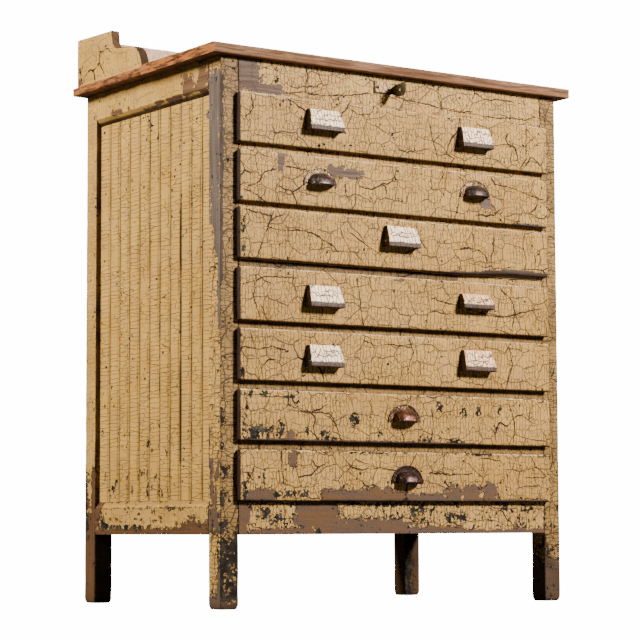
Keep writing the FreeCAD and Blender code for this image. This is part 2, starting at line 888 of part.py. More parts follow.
left_panel = side_panel()
save("side_panel_left", left_panel)
save("side_panel_right", [mirrored(board) for board in left_panel])
save("back_boards", back_boards())

save("top_front_board", [top_front_board()])
save("top_rear_board", [top_rear_board()])
left_bracket = gallery_side()
save("gallery_sides", [left_bracket, mirrored(left_bracket)])
save("gallery_back", [gallery_back()])

save("lock_lug", [lock_lug()])
save("lock_lug_screws", [wood_screw(x, front_plane - lug_thickness, z, lug_screw_head_radius,
                                    lug_screw_length) for x, z in lug_screw_places()])

for number in range(1, drawer_count + 1):
    name = "drawer_%d_" % number
    side = drawer_side(number)
    pulls, fasteners = drawer_pulls(number)
    save(name + "front", [drawer_front(number)])
    save(name + "sides", [side, mirrored(side)])
    save(name + "back", [drawer_back(number)])
    save(name + "bottom", [drawer_bottom(number)])
    save(name + "pulls", pulls)
    save(name + "screws", fasteners)
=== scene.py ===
# %% [markdown]
# # An old painted type case cabinet
# The cabinet stands on four square legs, has seven wide drawers, beadboard sides, a two-board top
# and a low gallery. Its cream paint has crazed and flaked for a hundred years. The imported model
# gives every place and size, and this lesson dresses it: first the camera, then the finishes, then
# helpers that make surfaces from arrays, then each piece, and last the floor and the lights.

# %% Load the frame
import math

import bpy
import numpy as np
from mathutils import Matrix, Vector


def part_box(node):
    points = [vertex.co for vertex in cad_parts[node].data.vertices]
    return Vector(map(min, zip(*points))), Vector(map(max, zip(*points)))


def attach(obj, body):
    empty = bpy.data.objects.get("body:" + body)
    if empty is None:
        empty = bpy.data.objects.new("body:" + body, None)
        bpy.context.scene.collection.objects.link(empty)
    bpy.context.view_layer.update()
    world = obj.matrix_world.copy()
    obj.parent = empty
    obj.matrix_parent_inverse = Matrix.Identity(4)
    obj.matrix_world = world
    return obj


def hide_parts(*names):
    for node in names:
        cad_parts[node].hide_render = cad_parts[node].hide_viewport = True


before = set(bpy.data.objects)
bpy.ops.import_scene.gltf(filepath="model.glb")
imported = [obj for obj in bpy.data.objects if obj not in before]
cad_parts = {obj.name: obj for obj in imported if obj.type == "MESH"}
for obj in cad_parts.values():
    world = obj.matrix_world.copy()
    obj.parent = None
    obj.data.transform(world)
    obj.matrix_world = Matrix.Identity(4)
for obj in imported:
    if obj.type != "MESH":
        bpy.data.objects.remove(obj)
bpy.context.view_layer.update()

# %% [markdown]
# The camera is a long lens low in front of the left corner, looking slightly up. It is set from its
# place and three angles, so the perspective of the legs and of the top comes out as it should.

# %% Camera
FOCAL_PIXELS = 2286.4
IMAGE_PIXELS = 640
SENSOR_MM = 36.0
CAMERA_PLACE = (-2.9637, -4.2914, 0.1731)
CAMERA_YAW = math.radians(34.453)
CAMERA_PITCH = math.radians(5.132)
CAMERA_ROLL = math.radians(-0.204)


def camera_turn(yaw, pitch, roll):
    """Columns right, up and backward: forward is yaw from +Y towards +X, raised by pitch."""
    forward = np.array([math.sin(yaw) * math.cos(pitch), math.cos(yaw) * math.cos(pitch), math.sin(pitch)])
    level = np.array([math.cos(yaw), -math.sin(yaw), 0.0])
    upright = np.cross(level, forward)
    right = level * math.cos(roll) + upright * math.sin(roll)
    up = -level * math.sin(roll) + upright * math.cos(roll)
    return Matrix(np.stack([right, up, -forward], axis=1).tolist())


lens = bpy.data.cameras.new("studio_camera")
lens.sensor_width = SENSOR_MM
lens.lens = FOCAL_PIXELS / IMAGE_PIXELS * SENSOR_MM
lens.clip_end = 100.0
camera = bpy.data.objects.new("studio_camera", lens)
bpy.context.collection.objects.link(camera)
camera.matrix_world = camera_turn(CAMERA_YAW, CAMERA_PITCH, CAMERA_ROLL).to_4x4()
camera.location = CAMERA_PLACE
bpy.context.scene.camera = camera
print("lens", round(lens.lens, 1), "mm")

# %% [markdown]
# Every finish below is a node tree. Small helpers keep those trees short: they add a node and fill
# its sockets with numbers or links, or do one step of arithmetic.

# %% Node helpers
def node(tree, kind, settings=None, **inputs):
    """Add a shader node, set its properties, and fill or link the sockets named by the keywords."""
    made = tree.nodes.new("ShaderNode" + kind)
    for name, value in (settings or {}).items():
        setattr(made, name, value)
    for name, value in inputs.items():
        fill(tree, made.inputs[name.replace("_", " ")], value)
    return made


def fill(tree, socket, value):
    """Link a socket to another, or write a number or colour into it."""
    if isinstance(value, bpy.types.NodeSocket):
        tree.links.new(value, socket)
    elif value is not None:
        socket.default_value = value


def calc(tree, operation, a, b=None, c=None):
    """One step of arithmetic on numbers."""
    made = node(tree, "Math", {"operation": operation})
    for socket, value in zip(made.inputs, (a, b, c)):
        fill(tree, socket, value)
    return made.outputs[0]


def times(tree, a, b):
    """The product of two numbers."""
    return calc(tree, "MULTIPLY", a, b)


def vector_calc(tree, operation, a, b=None, scale=None, result=0):
    """One step of arithmetic on vectors; result 1 is the number of a dot product or a length."""
    made = node(tree, "VectorMath", {"operation": operation})
    for socket, value in zip((made.inputs[0], made.inputs[1], made.inputs[3]), (a, b, scale)):
        fill(tree, socket, value)
    return made.outputs[result]


def step(tree, value, low, high, start=0.0, end=1.0):
    """A smooth step: start below low, end above high."""
    made = node(tree, "MapRange", {"interpolation_type": "SMOOTHSTEP"}, Value=value,
                From_Min=low, From_Max=high, To_Min=start, To_Max=end)
    return made.outputs[0]


def colour_mix(tree, factor, a, b):
    """Blend two colours by a factor."""
    made = node(tree, "Mix", {"data_type": "RGBA"})
    fill(tree, made.inputs[0], factor)
    fill(tree, made.inputs[6], a)
    fill(tree, made.inputs[7], b)
    return made.outputs[2]


def noise(tree, vector, scale, detail=3.0, rough=0.55):
    """Cloudy noise between 0 and 1; scale is in features per unit."""
    made = node(tree, "TexNoise", {"noise_dimensions": "3D"}, Vector=vector, Scale=scale,
                Detail=detail, Roughness=rough)
    return made.outputs[0]


# %% [markdown]
# Every finish reads numbers that a mesh carries at its points, the object's own coordinates, or
# coordinates bent by noise. An effect that several finishes share becomes a node group, which is
# built once and placed where it is needed.

# %% What the finishes read, and shared groups
def bent_by(tree, vector, cloud, amount):
    """Coordinates moved by amount * (cloud - 1/2), so that lines drawn on them are not straight."""
    offset = vector_calc(tree, "SCALE", vector_calc(tree, "SUBTRACT", cloud, (0.5, 0.5, 0.5)), scale=amount)
    return vector_calc(tree, "ADD", vector, offset)


def point_value(tree, name):
    """One of the numbers that a mesh carries at its points."""
    return node(tree, "Attribute", {"attribute_name": name}).outputs["Fac"]


def object_place(tree):
    """The object's own coordinates, in metres."""
    return node(tree, "TexCoord").outputs["Object"]


def shader_group(name, numbers, results):
    """An empty node group that takes a vector and named numbers, and gives named numbers back."""
    group = bpy.data.node_groups.new(name, "ShaderNodeTree")
    group.interface.new_socket("Vector", in_out="INPUT", socket_type="NodeSocketVector")
    for label, default in numbers.items():
        socket = group.interface.new_socket(label, in_out="INPUT", socket_type="NodeSocketFloat")
        socket.default_value = default
    for label in results:
        group.interface.new_socket(label, in_out="OUTPUT", socket_type="NodeSocketFloat")
    start = group.nodes.new("NodeGroupInput")
    end = group.nodes.new("NodeGroupOutput")
    return group, start.outputs, end.inputs


def use_group(tree, group, **inputs):
    """Place a node group in a tree and fill its inputs."""
    return node(tree, "Group", {"node_tree": group}, **inputs).outputs


# %% [markdown]
# Old oil paint cracks across the grain of the wood beneath. The crazing has three sizes: a fine
# net of narrow upright cells, wider plates with curved borders, and a few long open cracks. Each is
# the border of Voronoi cells, on coordinates that noise has bent, so no line is straight. Here u
# runs along the grain and v across it.

# %% Group: one net of cracks
SEED_SPREAD = 0.68
CRACK_CORE = 0.35


def build_crack_net():
    """Borders of Voronoi cells of a given size, all of one width in metres.

    With n the way from the nearest seed to the next one and m the point midway, a border is at the
    distance (m - p).n on the scaled coordinates, and this over the length of n / cell size in metres.
    """
    tree, given, out = shader_group(
        "crack_net",
        {"Bend Scale": 20.0, "Bend": 0.01, "Cell U": 0.02, "Cell V": 0.02, "Width": 0.001, "Gate": 1.0},
        ["Line"])
    sway = node(tree, "TexNoise", {"noise_dimensions": "2D"}, Vector=given["Vector"],
                Scale=given["Bend Scale"], Detail=2.0).outputs[1]
    moved = bent_by(tree, given["Vector"], sway, given["Bend"])
    cell = node(tree, "CombineXYZ", X=given["Cell U"], Y=given["Cell V"], Z=1.0).outputs[0]
    flat = vector_calc(tree, "MULTIPLY", moved, (1.0, 1.0, 0.0))
    sized = vector_calc(tree, "DIVIDE", flat, cell)
    seeds = []
    for feature in ("F1", "F2"):
        cells = node(tree, "TexVoronoi", {"voronoi_dimensions": "2D", "feature": feature},
                     Vector=sized, Scale=1.0, Randomness=SEED_SPREAD)
        seeds.append(vector_calc(tree, "MULTIPLY", cells.outputs["Position"], (1.0, 1.0, 0.0)))
    way = vector_calc(tree, "NORMALIZE", vector_calc(tree, "SUBTRACT", seeds[1], seeds[0]))
    middle = vector_calc(tree, "SCALE", vector_calc(tree, "ADD", seeds[0], seeds[1]), scale=0.5)
    apart = vector_calc(tree, "DOT_PRODUCT", vector_calc(tree, "SUBTRACT", middle, sized), way, result=1)
    stretch = vector_calc(tree, "LENGTH", vector_calc(tree, "DIVIDE", way, cell), result=1)
    distance = calc(tree, "DIVIDE", apart, stretch)
    limit = times(tree, given["Gate"], given["Width"])
    line = step(tree, distance, times(tree, limit, CRACK_CORE), limit, 1.0, 0.0)
    tree.links.new(times(tree, line, step(tree, given["Gate"], 0.12, 0.3)), out["Line"])
    return tree


crack_net = build_crack_net()
print(crack_net.name, len(crack_net.nodes), "nodes")

# %% [markdown]
# One net makes one size of crack. Crazed paint is several nets over each other, each let through
# only where slow noise is high, so that some places stay whole.

# %% Group: crazing of the paint
def build_crazing():
    """Fine upright and cross cracks, plates with curved borders, and a few long open cracks."""
    tree, given, out = shader_group(
        "crazing", {"Fine": 1.0, "Cross": 1.0, "Plates": 1.0, "Long": 1.0}, ["Fine Lines", "Wide Lines"])
    vector = given["Vector"]

    def net(gate_scale, low, high, amount, **sizes):
        """One net, let through where cloudy noise is high."""
        gate = step(tree, noise(tree, vector, gate_scale, 2.0), low, high)
        made = use_group(tree, crack_net, Vector=vector, Gate=times(tree, gate, amount), **sizes)
        return made["Line"]

    upright = net(22.0, 0.24, 0.56, given["Fine"], Bend_Scale=70.0, Bend=0.007,
                  Cell_U=0.0090, Cell_V=0.030, Width=0.00105)
    cross = net(30.0, 0.34, 0.60, given["Cross"], Bend_Scale=60.0, Bend=0.009,
                Cell_U=0.021, Cell_V=0.0135, Width=0.00105)
    plates = net(17.0, 0.28, 0.56, given["Plates"], Bend_Scale=14.0, Bend=0.030,
                 Cell_U=0.050, Cell_V=0.040, Width=0.0017)
    openings = net(8.0, 0.44, 0.64, given["Long"], Bend_Scale=12.0, Bend=0.060,
                   Cell_U=0.140, Cell_V=0.100, Width=0.0024)
    fine = calc(tree, "MAXIMUM", upright, times(tree, cross, 0.8))
    tree.links.new(calc(tree, "MAXIMUM", fine, plates), out["Fine Lines"])
    tree.links.new(openings, out["Wide Lines"])
    return tree


crazing = build_crazing()
print(crazing.name, len(crazing.nodes), "nodes")

# %% [markdown]
# The longest cracks have places of their own on the real drawers. Their paths are short lists of
# points further down; each mesh point then carries its distance to the nearest path, once signed by
# the side of the path it is on, and once plain. The signed one crosses zero cleanly along the crack.

# %% Group: one long crack
def build_placed_crack():
    """A line where the signed distance crosses zero, with a width that noise varies."""
    tree, given, out = shader_group("placed_crack", {"Width": 0.0017}, ["Line"])
    side = point_value(tree, "crack_side")
    near = point_value(tree, "crack_near")
    shiver = calc(tree, "SUBTRACT", noise(tree, given["Vector"], 90.0, 3.0), 0.5)
    wobble = times(tree, shiver, 0.010)
    distance = calc(tree, "ABSOLUTE", calc(tree, "ADD", side, wobble))
    swell = step(tree, noise(tree, given["Vector"], 25.0, 2.0), 0.3, 0.7, 0.45, 1.6)
    limit = times(tree, given["Width"], swell)
    line = step(tree, distance, times(tree, limit, 0.4), limit, 1.0, 0.0)
    there = step(tree, near, 0.003, 0.006)
    tree.links.new(times(tree, line, there), out["Line"])
    return tree


placed_crack = build_placed_crack()
print(placed_crack.name, len(placed_crack.nodes), "nodes")

# %% [markdown]
# Flaking: where the paint has gone, the edge of the hole is ragged, with small islands left behind
# and small chips beyond. Each mesh carries three numbers per point for it: "bare", above zero inside
# a bare place, "black", the same for a dark older coat, and "rim", which rises to 1 at a board's
# edges. Noise of two sizes breaks up their borders.

# %% Group: flaking of the paint
def build_flaking():
    """Bare wood where bare + edge wear * rim cubed + noise + a number for each cell is above zero.

    The older coat shows where the same sum with black is, at rare single cells as chips, and in the
    Undercoat's share along the borders of the bare places.
    """
    tree, given, out = shader_group(
        "flaking", {"Chips": 0.5, "Edge Wear": 0.5, "Undercoat": 0.0}, ["Bare", "Dark"])
    bare = point_value(tree, "bare")
    black = point_value(tree, "black")
    rim = point_value(tree, "rim")
    vector = given["Vector"]
    broad = times(tree, calc(tree, "SUBTRACT", noise(tree, vector, 30.0, 3.0, 0.6), 0.5), 1.3)
    sway = node(tree, "TexNoise", Vector=vector, Scale=120.0, Detail=3.0).outputs[1]
    moved = bent_by(tree, vector, sway, 0.010)
    small = node(tree, "TexVoronoi", Vector=moved, Scale=190.0, Randomness=1.0).outputs["Color"]
    large = node(tree, "TexVoronoi", Vector=moved, Scale=85.0, Randomness=1.0).outputs["Color"]
    small = node(tree, "SeparateColor", Color=small).outputs
    large = node(tree, "SeparateColor", Color=large).outputs
    at_rim = times(tree, calc(tree, "POWER", rim, 3.0), given["Edge Wear"])
    paint_cells = calc(tree, "MULTIPLY_ADD", calc(tree, "SUBTRACT", small[0], 0.5), 0.6,
                       times(tree, calc(tree, "SUBTRACT", large[0], 0.5), 0.6))
    dark_cells = calc(tree, "MULTIPLY_ADD", calc(tree, "SUBTRACT", small[1], 0.5), 1.3,
                      times(tree, calc(tree, "SUBTRACT", large[1], 0.5), 0.5))
    chip_level = calc(tree, "MULTIPLY_ADD", broad, 0.10, small[2])
    chips = step(tree, calc(tree, "MULTIPLY_ADD", given["Chips"], 0.02, chip_level), 1.005, 1.006)
    level = calc(tree, "ADD", calc(tree, "ADD", bare, at_rim), calc(tree, "ADD", broad, paint_cells))
    dark_level = calc(tree, "ADD", calc(tree, "MULTIPLY_ADD", at_rim, 0.5, black),
                      calc(tree, "MULTIPLY_ADD", broad, 0.6, dark_cells))
    dark = calc(tree, "MAXIMUM", step(tree, dark_level, 0.0, 0.04), chips)
    border = times(tree, step(tree, level, -0.20, -0.18), step(tree, level, 0.05, 0.03))
    border = times(tree, border, step(tree, large[1], 0.45, 0.46))
    dark = calc(tree, "MAXIMUM", dark, times(tree, border, given["Undercoat"]))
    lost = calc(tree, "MAXIMUM", step(tree, level, 0.0, 0.04), dark)
    tree.links.new(lost, out["Bare"])
    tree.links.new(dark, out["Dark"])
    return tree


flaking = build_flaking()
print(flaking.name, len(flaking.nodes), "nodes")

# %% [markdown]
# Bare softwood under the paint is silvery brown, with darker late wood in lines along the grain.
# Stretched noise gives those lines, and a slow wave bends them as a sawn board does.

# %% Group: wood grain
def build_grain():
    """Lines of late wood and pores: noise stretched along u, on coordinates that slow noise bends."""
    tree, given, out = shader_group("grain", {"Pitch": 160.0, "Bend": 0.02}, ["Lines", "Pores"])
    vector = given["Vector"]
    sway = node(tree, "TexNoise", {"noise_dimensions": "2D"}, Vector=vector, Scale=4.0,
                Detail=2.0).outputs[1]
    moved = bent_by(tree, vector, sway, given["Bend"])
    long_way = vector_calc(tree, "MULTIPLY", moved, (0.035, 1.0, 1.0))
    lines = noise(tree, vector_calc(tree, "SCALE", long_way, scale=given["Pitch"]), 1.0, 3.0, 0.6)
    pores = noise(tree, vector_calc(tree, "MULTIPLY", moved, (40.0, 1400.0, 1400.0)), 1.0, 2.0, 0.5)
    tree.links.new(step(tree, lines, 0.34, 0.68), out["Lines"])
    tree.links.new(step(tree, pores, 0.42, 0.62), out["Pores"])
    return tree


grain = build_grain()
print(grain.name, len(grain.nodes), "nodes")

# %% [markdown]
# Every finish ends alike: colour, roughness and height go into one shader, with one Bump node.

# %% Closing a material
def board_vector(tree):
    """Coordinates on the board in metres: u along the grain, v across it."""
    return node(tree, "UVMap", {"uv_map": "board"}).outputs[0]


def finish_surface(tree, colour, roughness, height, distance, metallic=0.0, specular=0.12):
    """Close a material with one Principled shader; gives that shader and the way out of the tree."""
    bump = node(tree, "Bump", Height=height, Strength=1.0, Distance=distance)
    surface = node(tree, "BsdfPrincipled", Base_Color=colour, Roughness=roughness,
                   Metallic=metallic, Normal=bump.outputs[0])
    surface.inputs["Specular IOR Level"].default_value = specular
    out = node(tree, "OutputMaterial")
    tree.links.new(surface.outputs[0], out.inputs[0])
    return surface.outputs[0], out.inputs[0]


def new_material(name):
    """A new material with an empty node tree, and that tree."""
    made = bpy.data.materials.new(name)
    made.use_nodes = True
    made.node_tree.nodes.clear()
    return made, made.node_tree


# %% [markdown]
# The paint is a mottled cream, browner in its cracks; where it has flaked, grey-brown wood or a dark
# older coat shows. The bump lifts the paint above both. Values on the mesh also darken it with dirt
# and painted shade, and pale the fronts' crests as a painted highlight.

# %% Material: crazed paint
def paint_material(name, light, shade, fine=1.0, cross=1.0, plates=1.0, long_cracks=1.0, chips=0.5,
                   edge_wear=0.8, stretch=1.0, wood=(0.165, 0.110, 0.082, 1),
                   wood_dark=(0.080, 0.050, 0.035, 1)):
    """Crazed, flaking oil paint over wood; a small stretch makes each crack longer across the board."""
    made, tree = new_material(name)
    board = board_vector(tree)
    crack_place = vector_calc(tree, "MULTIPLY", board, (1.0, stretch, 1.0))
    place = object_place(tree)
    cracks = use_group(tree, crazing, Vector=crack_place, Fine=fine, Cross=cross, Plates=plates,
                       Long=long_cracks)
    placed = use_group(tree, placed_crack, Vector=board)
    wide = calc(tree, "MAXIMUM", cracks["Wide Lines"], placed["Line"])
    height_now = node(tree, "SeparateXYZ", Vector=place).outputs[2]
    low_down = step(tree, height_now, 0.26, 0.46, 1.0, 0.0)
    flakes = use_group(tree, flaking, Vector=place, Chips=chips, Edge_Wear=edge_wear, Undercoat=low_down)
    lines = use_group(tree, grain, Vector=board)
    cloud = noise(tree, place, 9.0, 4.0)
    speck = noise(tree, place, 420.0, 2.0)
    paint = colour_mix(tree, step(tree, cloud, 0.32, 0.68), light, shade)
    paint = colour_mix(tree, step(tree, speck, 0.25, 0.75, 0.0, 0.35), paint, shade)
    tint = point_value(tree, "tint")
    blush = step(tree, noise(tree, place, 26.0, 3.0), 0.42, 0.66, 0.0, 0.4)
    paint = colour_mix(tree, calc(tree, "MAXIMUM", blush, tint), paint, PINK_SHADE)
    # On the fronts the next value marks the crest, which is paled there as a painted highlight.
    crest_highlight = point_value(tree, "coat")
    crest_highlight = times(tree, crest_highlight, step(tree, noise(tree, place, 45.0, 3.0), 0.30, 0.50))
    paint = colour_mix(tree, crest_highlight, paint, CREST_HIGHLIGHT)
    paint = colour_mix(tree, times(tree, cracks["Fine Lines"], 0.92), paint, CRACK_BROWN)
    paint = colour_mix(tree, times(tree, wide, 0.98), paint, CRACK_DARK)
    warmth = step(tree, height_now, 0.20, 0.75, 1.0, 0.0)
    wood_now = colour_mix(tree, warmth, wood, WARM_WOOD)
    wood_now = colour_mix(tree, step(tree, cloud, 0.35, 0.65, 0.0, 0.4), wood_now, wood_dark)
    bare_wood = colour_mix(tree, lines["Lines"], wood_now, wood_dark)
    bare_wood = colour_mix(tree, times(tree, lines["Pores"], 0.3), bare_wood, wood_dark)
    colour = colour_mix(tree, flakes["Bare"], paint, bare_wood)
    mottle = times(tree, noise(tree, place, 70.0, 4.0), 0.8)
    mottle = calc(tree, "MULTIPLY_ADD", speck, 0.35, mottle)
    undercoat = colour_mix(tree, step(tree, mottle, 0.50, 0.72), UNDERCOAT_BLACK, UNDERCOAT_GREEN)
    colour = colour_mix(tree, flakes["Dark"], colour, undercoat)
    # The next value darkens the paint: dirt and dark joints in some places, painted shade in gaps, recesses
    # and under the fronts in others.
    grime = point_value(tree, "grime")
    dirt_and_shade_amount = times(tree, grime, step(tree, cloud, 0.2, 0.8, 0.90, 1.0))
    colour = colour_mix(tree, dirt_and_shade_amount, colour, DIRT_AND_SHADE_COLOUR)
    rough = step(tree, flakes["Bare"], 0.0, 1.0, 0.52, 0.80)
    sunk = times(tree, flakes["Bare"], -1.0)
    sunk = calc(tree, "MULTIPLY_ADD", cracks["Fine Lines"], -0.30, sunk)
    sunk = calc(tree, "MULTIPLY_ADD", wide, -0.8, sunk)
    sunk = calc(tree, "MULTIPLY_ADD", noise(tree, place, 60.0, 3.0), 0.5, sunk)
    height = calc(tree, "MULTIPLY_ADD", lines["Lines"], 0.12, sunk)
    finish_surface(tree, colour, rough, height, PAINT_THICK)
    return made


# %% [markdown]
# Each part of the cabinet has weathered in its own way, so it has its own paint: tan on the fronts,
# yellower and less crazed on the sides, paler on the posts. The colours are amounts of light, which
# look darker as numbers than on the wood.

# %% The paints
PAINT_THICK = 0.0011
CRACK_BROWN = (0.036, 0.016, 0.006, 1)
CRACK_DARK = (0.010, 0.004, 0.002, 1)
UNDERCOAT_BLACK = (0.005, 0.004, 0.003, 1)
UNDERCOAT_GREEN = (0.046, 0.042, 0.029, 1)
DIRT_AND_SHADE_COLOUR = (0.012, 0.005, 0.002, 1)
PINK_SHADE = (0.36, 0.200, 0.074, 1)
CREST_HIGHLIGHT = (0.74, 0.50, 0.26, 1)
WARM_WOOD = (0.118, 0.054, 0.018, 1)

paint_front = paint_material("crazed_tan_paint", (0.46, 0.268, 0.078, 1), (0.37, 0.203, 0.053, 1))
paint_drawer = paint_material("crazed_drawer_paint", (0.45, 0.254, 0.067, 1), (0.36, 0.192, 0.045, 1),
                              chips=0.4, edge_wear=0.75)
paint_side = paint_material("yellow_side_paint", (0.49, 0.280, 0.066, 1), (0.38, 0.205, 0.042, 1),
                            fine=0.5, cross=0.4, plates=0.4, long_cracks=0.35, chips=0.7, edge_wear=0.75,
                            wood=(0.16, 0.080, 0.036, 1), wood_dark=(0.075, 0.034, 0.014, 1))
paint_panel = paint_material("yellow_panel_paint", (0.51, 0.292, 0.067, 1), (0.41, 0.222, 0.046, 1),
                             fine=0.78, cross=0.0, plates=0.15, long_cracks=0.2, chips=0.7, edge_wear=0.5,
                             stretch=0.40)
paint_post = paint_material("crazed_post_paint", (0.55, 0.315, 0.080, 1), (0.43, 0.232, 0.054, 1),
                            fine=1.1, cross=1.5, plates=1.3, long_cracks=0.6, chips=0.9, edge_wear=0.7,
                            wood=(0.135, 0.100, 0.076, 1), wood_dark=(0.078, 0.053, 0.038, 1))
paint_pink = paint_material("pale_pink_paint", (0.66, 0.43, 0.28, 1), (0.56, 0.35, 0.22, 1), fine=0.4,
                            cross=0.3, plates=0.3, long_cracks=0.3, chips=0.4, edge_wear=0.7)
print("paints", len(bpy.data.materials))

# %% [markdown]
# The top is varnished softwood worn to orange and brown. The inside and the back have no finish at
# all and are only dark with age. Both read the grain group; the CAD's plain inner boards have no
# board map, so their grain runs along a chosen axis of the object's own coordinates.

# %% Material: woods
def wood_material(name, pale, dark, deep, pitch=160.0, rough=(0.45, 0.75), axis=None, stain=0.5):
    """Wood with late-wood lines, pores and stains; axis names the grain's way on a piece with no map."""
    made, tree = new_material(name)
    place = object_place(tree)
    if axis is None:
        board = board_vector(tree)
    else:
        turn = {"x": (0, 0, 0), "y": (0, 0, -math.pi / 2), "z": (0, math.pi / 2, 0)}[axis]
        board = node(tree, "Mapping", Vector=place, Rotation=turn).outputs[0]
    lines = use_group(tree, grain, Vector=board, Pitch=pitch)
    cloud = noise(tree, place, 6.0, 4.0, 0.6)
    colour = colour_mix(tree, lines["Lines"], pale, dark)
    colour = colour_mix(tree, times(tree, lines["Pores"], 0.35), colour, deep)
    stains = step(tree, cloud, 0.45, 0.75, 0.0, stain)
    colour = colour_mix(tree, stains, colour, deep)
    tint = point_value(tree, "tint")
    streaks = noise(tree, vector_calc(tree, "MULTIPLY", place, END_STREAKS), 1.0, 4.0, 0.7)
    end_grain = colour_mix(tree, step(tree, streaks, 0.46, 0.57), END_ORANGE, END_DARK)
    colour = colour_mix(tree, tint, colour, end_grain)
    rim = point_value(tree, "rim")
    worn = times(tree, calc(tree, "POWER", rim, 4.0), noise(tree, place, 60.0, 3.0))
    colour = colour_mix(tree, times(tree, worn, 0.6), colour, pale)
    height = calc(tree, "MULTIPLY_ADD", lines["Lines"], -0.6, noise(tree, place, 50.0, 3.0))
    height = calc(tree, "MULTIPLY_ADD", lines["Pores"], -0.3, height)
    finish_surface(tree, colour, step(tree, cloud, 0.3, 0.7, rough[0], rough[1]), height, GRAIN_DEPTH)
    return made


GRAIN_DEPTH = 0.0006
END_STREAKS = (30.0, 30.0, 260.0)
END_ORANGE = (0.29, 0.092, 0.020, 1)
END_DARK = (0.040, 0.012, 0.003, 1)
top_wood = wood_material("worn_top_wood", (0.27, 0.130, 0.062, 1), (0.090, 0.036, 0.015, 1),
                         (0.028, 0.011, 0.004, 1), pitch=230.0)
drawer_wood = {axis: wood_material("drawer_wood_" + axis, (0.36, 0.22, 0.105, 1), (0.22, 0.12, 0.052, 1),
                                   (0.11, 0.055, 0.024, 1), axis=axis, rough=(0.6, 0.8)) for axis in "xyz"}
BACK_TONES = ((0.24, 0.15, 0.08, 1), (0.13, 0.075, 0.038, 1), (0.05, 0.028, 0.014, 1))
back_wood = wood_material("back_wood", *BACK_TONES, rough=(0.65, 0.85))
print("woods", top_wood.name, back_wood.name)

# %% [markdown]
# The pulls are thin iron. Paint stays on the faces of the bin pulls, white and crazed, and has gone
# from their ends and lips; the cup pulls are mostly bare, and brown with rust. The value "coat" on the
# mesh says where paint stays.

# %% Material: iron of the pulls
def iron_material(name, metal, metal_light, rust, coat, coat_shade, rust_amount=0.4, coat_cover=1.0,
                  gloss=0.35):
    """Old iron: brown skin, rust blooms, and crazed paint where the value "coat" is high."""
    made, tree = new_material(name)
    place = object_place(tree)
    cloud = noise(tree, place, 55.0, 4.0, 0.6)
    grit = noise(tree, place, 420.0, 3.0, 0.6)
    skin = colour_mix(tree, step(tree, grit, 0.3, 0.7), metal, metal_light)
    rusted = step(tree, cloud, 0.62 - 0.25 * rust_amount, 0.72)
    bloom = times(tree, rusted, step(tree, grit, 0.35, 0.6))
    skin = colour_mix(tree, bloom, skin, rust)
    mask = point_value(tree, "coat")
    lines = use_group(tree, crack_net, Vector=board_vector(tree), Bend_Scale=90.0, Bend=0.007, Cell_U=0.0085,
                      Cell_V=0.0150, Width=0.0014, Gate=step(tree, cloud, 0.30, 0.55, 0.3, 1.0))["Line"]
    coat_colour = colour_mix(tree, step(tree, noise(tree, place, 130.0, 3.0), 0.35, 0.68), coat, coat_shade)
    grime = point_value(tree, "grime")
    coat_colour = colour_mix(tree, grime, coat_colour, COAT_GRIME)
    creases = use_group(tree, placed_crack, Vector=board_vector(tree), Width=CREASE_WIDTH)["Line"]
    lines = calc(tree, "MAXIMUM", lines, creases)
    coat_colour = colour_mix(tree, times(tree, lines, 0.96), coat_colour, COAT_CRACK)
    torn = calc(tree, "MULTIPLY_ADD", calc(tree, "SUBTRACT", grit, 0.5), 1.6, mask)
    torn = calc(tree, "MULTIPLY_ADD", calc(tree, "SUBTRACT", cloud, 0.5), 1.6, torn)
    cover = step(tree, torn, 0.95 - 0.55 * coat_cover, 1.02 - 0.55 * coat_cover)
    colour = colour_mix(tree, cover, skin, coat_colour)
    rough = calc(tree, "MULTIPLY_ADD", cover, 0.12, step(tree, grit, 0.2, 0.8, gloss, gloss + 0.2))
    bare = calc(tree, "SUBTRACT", 1.0, cover)
    metallic = times(tree, bare, calc(tree, "SUBTRACT", 0.75, times(tree, bloom, 0.7)))
    height = calc(tree, "MULTIPLY_ADD", cover, 1.0, times(tree, grit, 0.5))
    height = calc(tree, "MULTIPLY_ADD", lines, -0.5, height)
    finish_surface(tree, colour, rough, height, COAT_THICK, metallic=metallic, specular=0.35)
    return made


# %% [markdown]
# The pulls don't match, so there are seven irons. The white and cream ones keep their paint, the cup
# pulls are gun-dark, coppery or brown, and the screws are a dull brass.

# %% The irons
CREASE_WIDTH = 0.0016
COAT_THICK = 0.0006
COAT_CRACK = (0.012, 0.007, 0.005, 1)
COAT_GRIME = (0.058, 0.022, 0.010, 1)
IRON = ((0.030, 0.020, 0.010, 1), (0.055, 0.038, 0.020, 1), (0.10, 0.042, 0.016, 1))
white_iron = iron_material("white_painted_iron", *IRON, (1.0, 0.72, 0.46, 1), (0.92, 0.58, 0.34, 1))
cream_iron = iron_material("cream_painted_iron", *IRON, (1.0, 0.58, 0.30, 1), (0.72, 0.38, 0.17, 1))
lug_iron = iron_material("tan_painted_iron", (0.026, 0.018, 0.006, 1), (0.060, 0.042, 0.014, 1),
                         (0.085, 0.048, 0.014, 1), (0.52, 0.33, 0.14, 1), (0.38, 0.22, 0.085, 1),
                         gloss=0.55)
rusty_iron = iron_material("rusty_copper_iron", (0.045, 0.020, 0.014, 1), (0.12, 0.048, 0.028, 1),
                           (0.30, 0.095, 0.022, 1), (0.50, 0.29, 0.12, 1), (0.05, 0.022, 0.010, 1),
                           rust_amount=0.75, coat_cover=0.55, gloss=0.24)
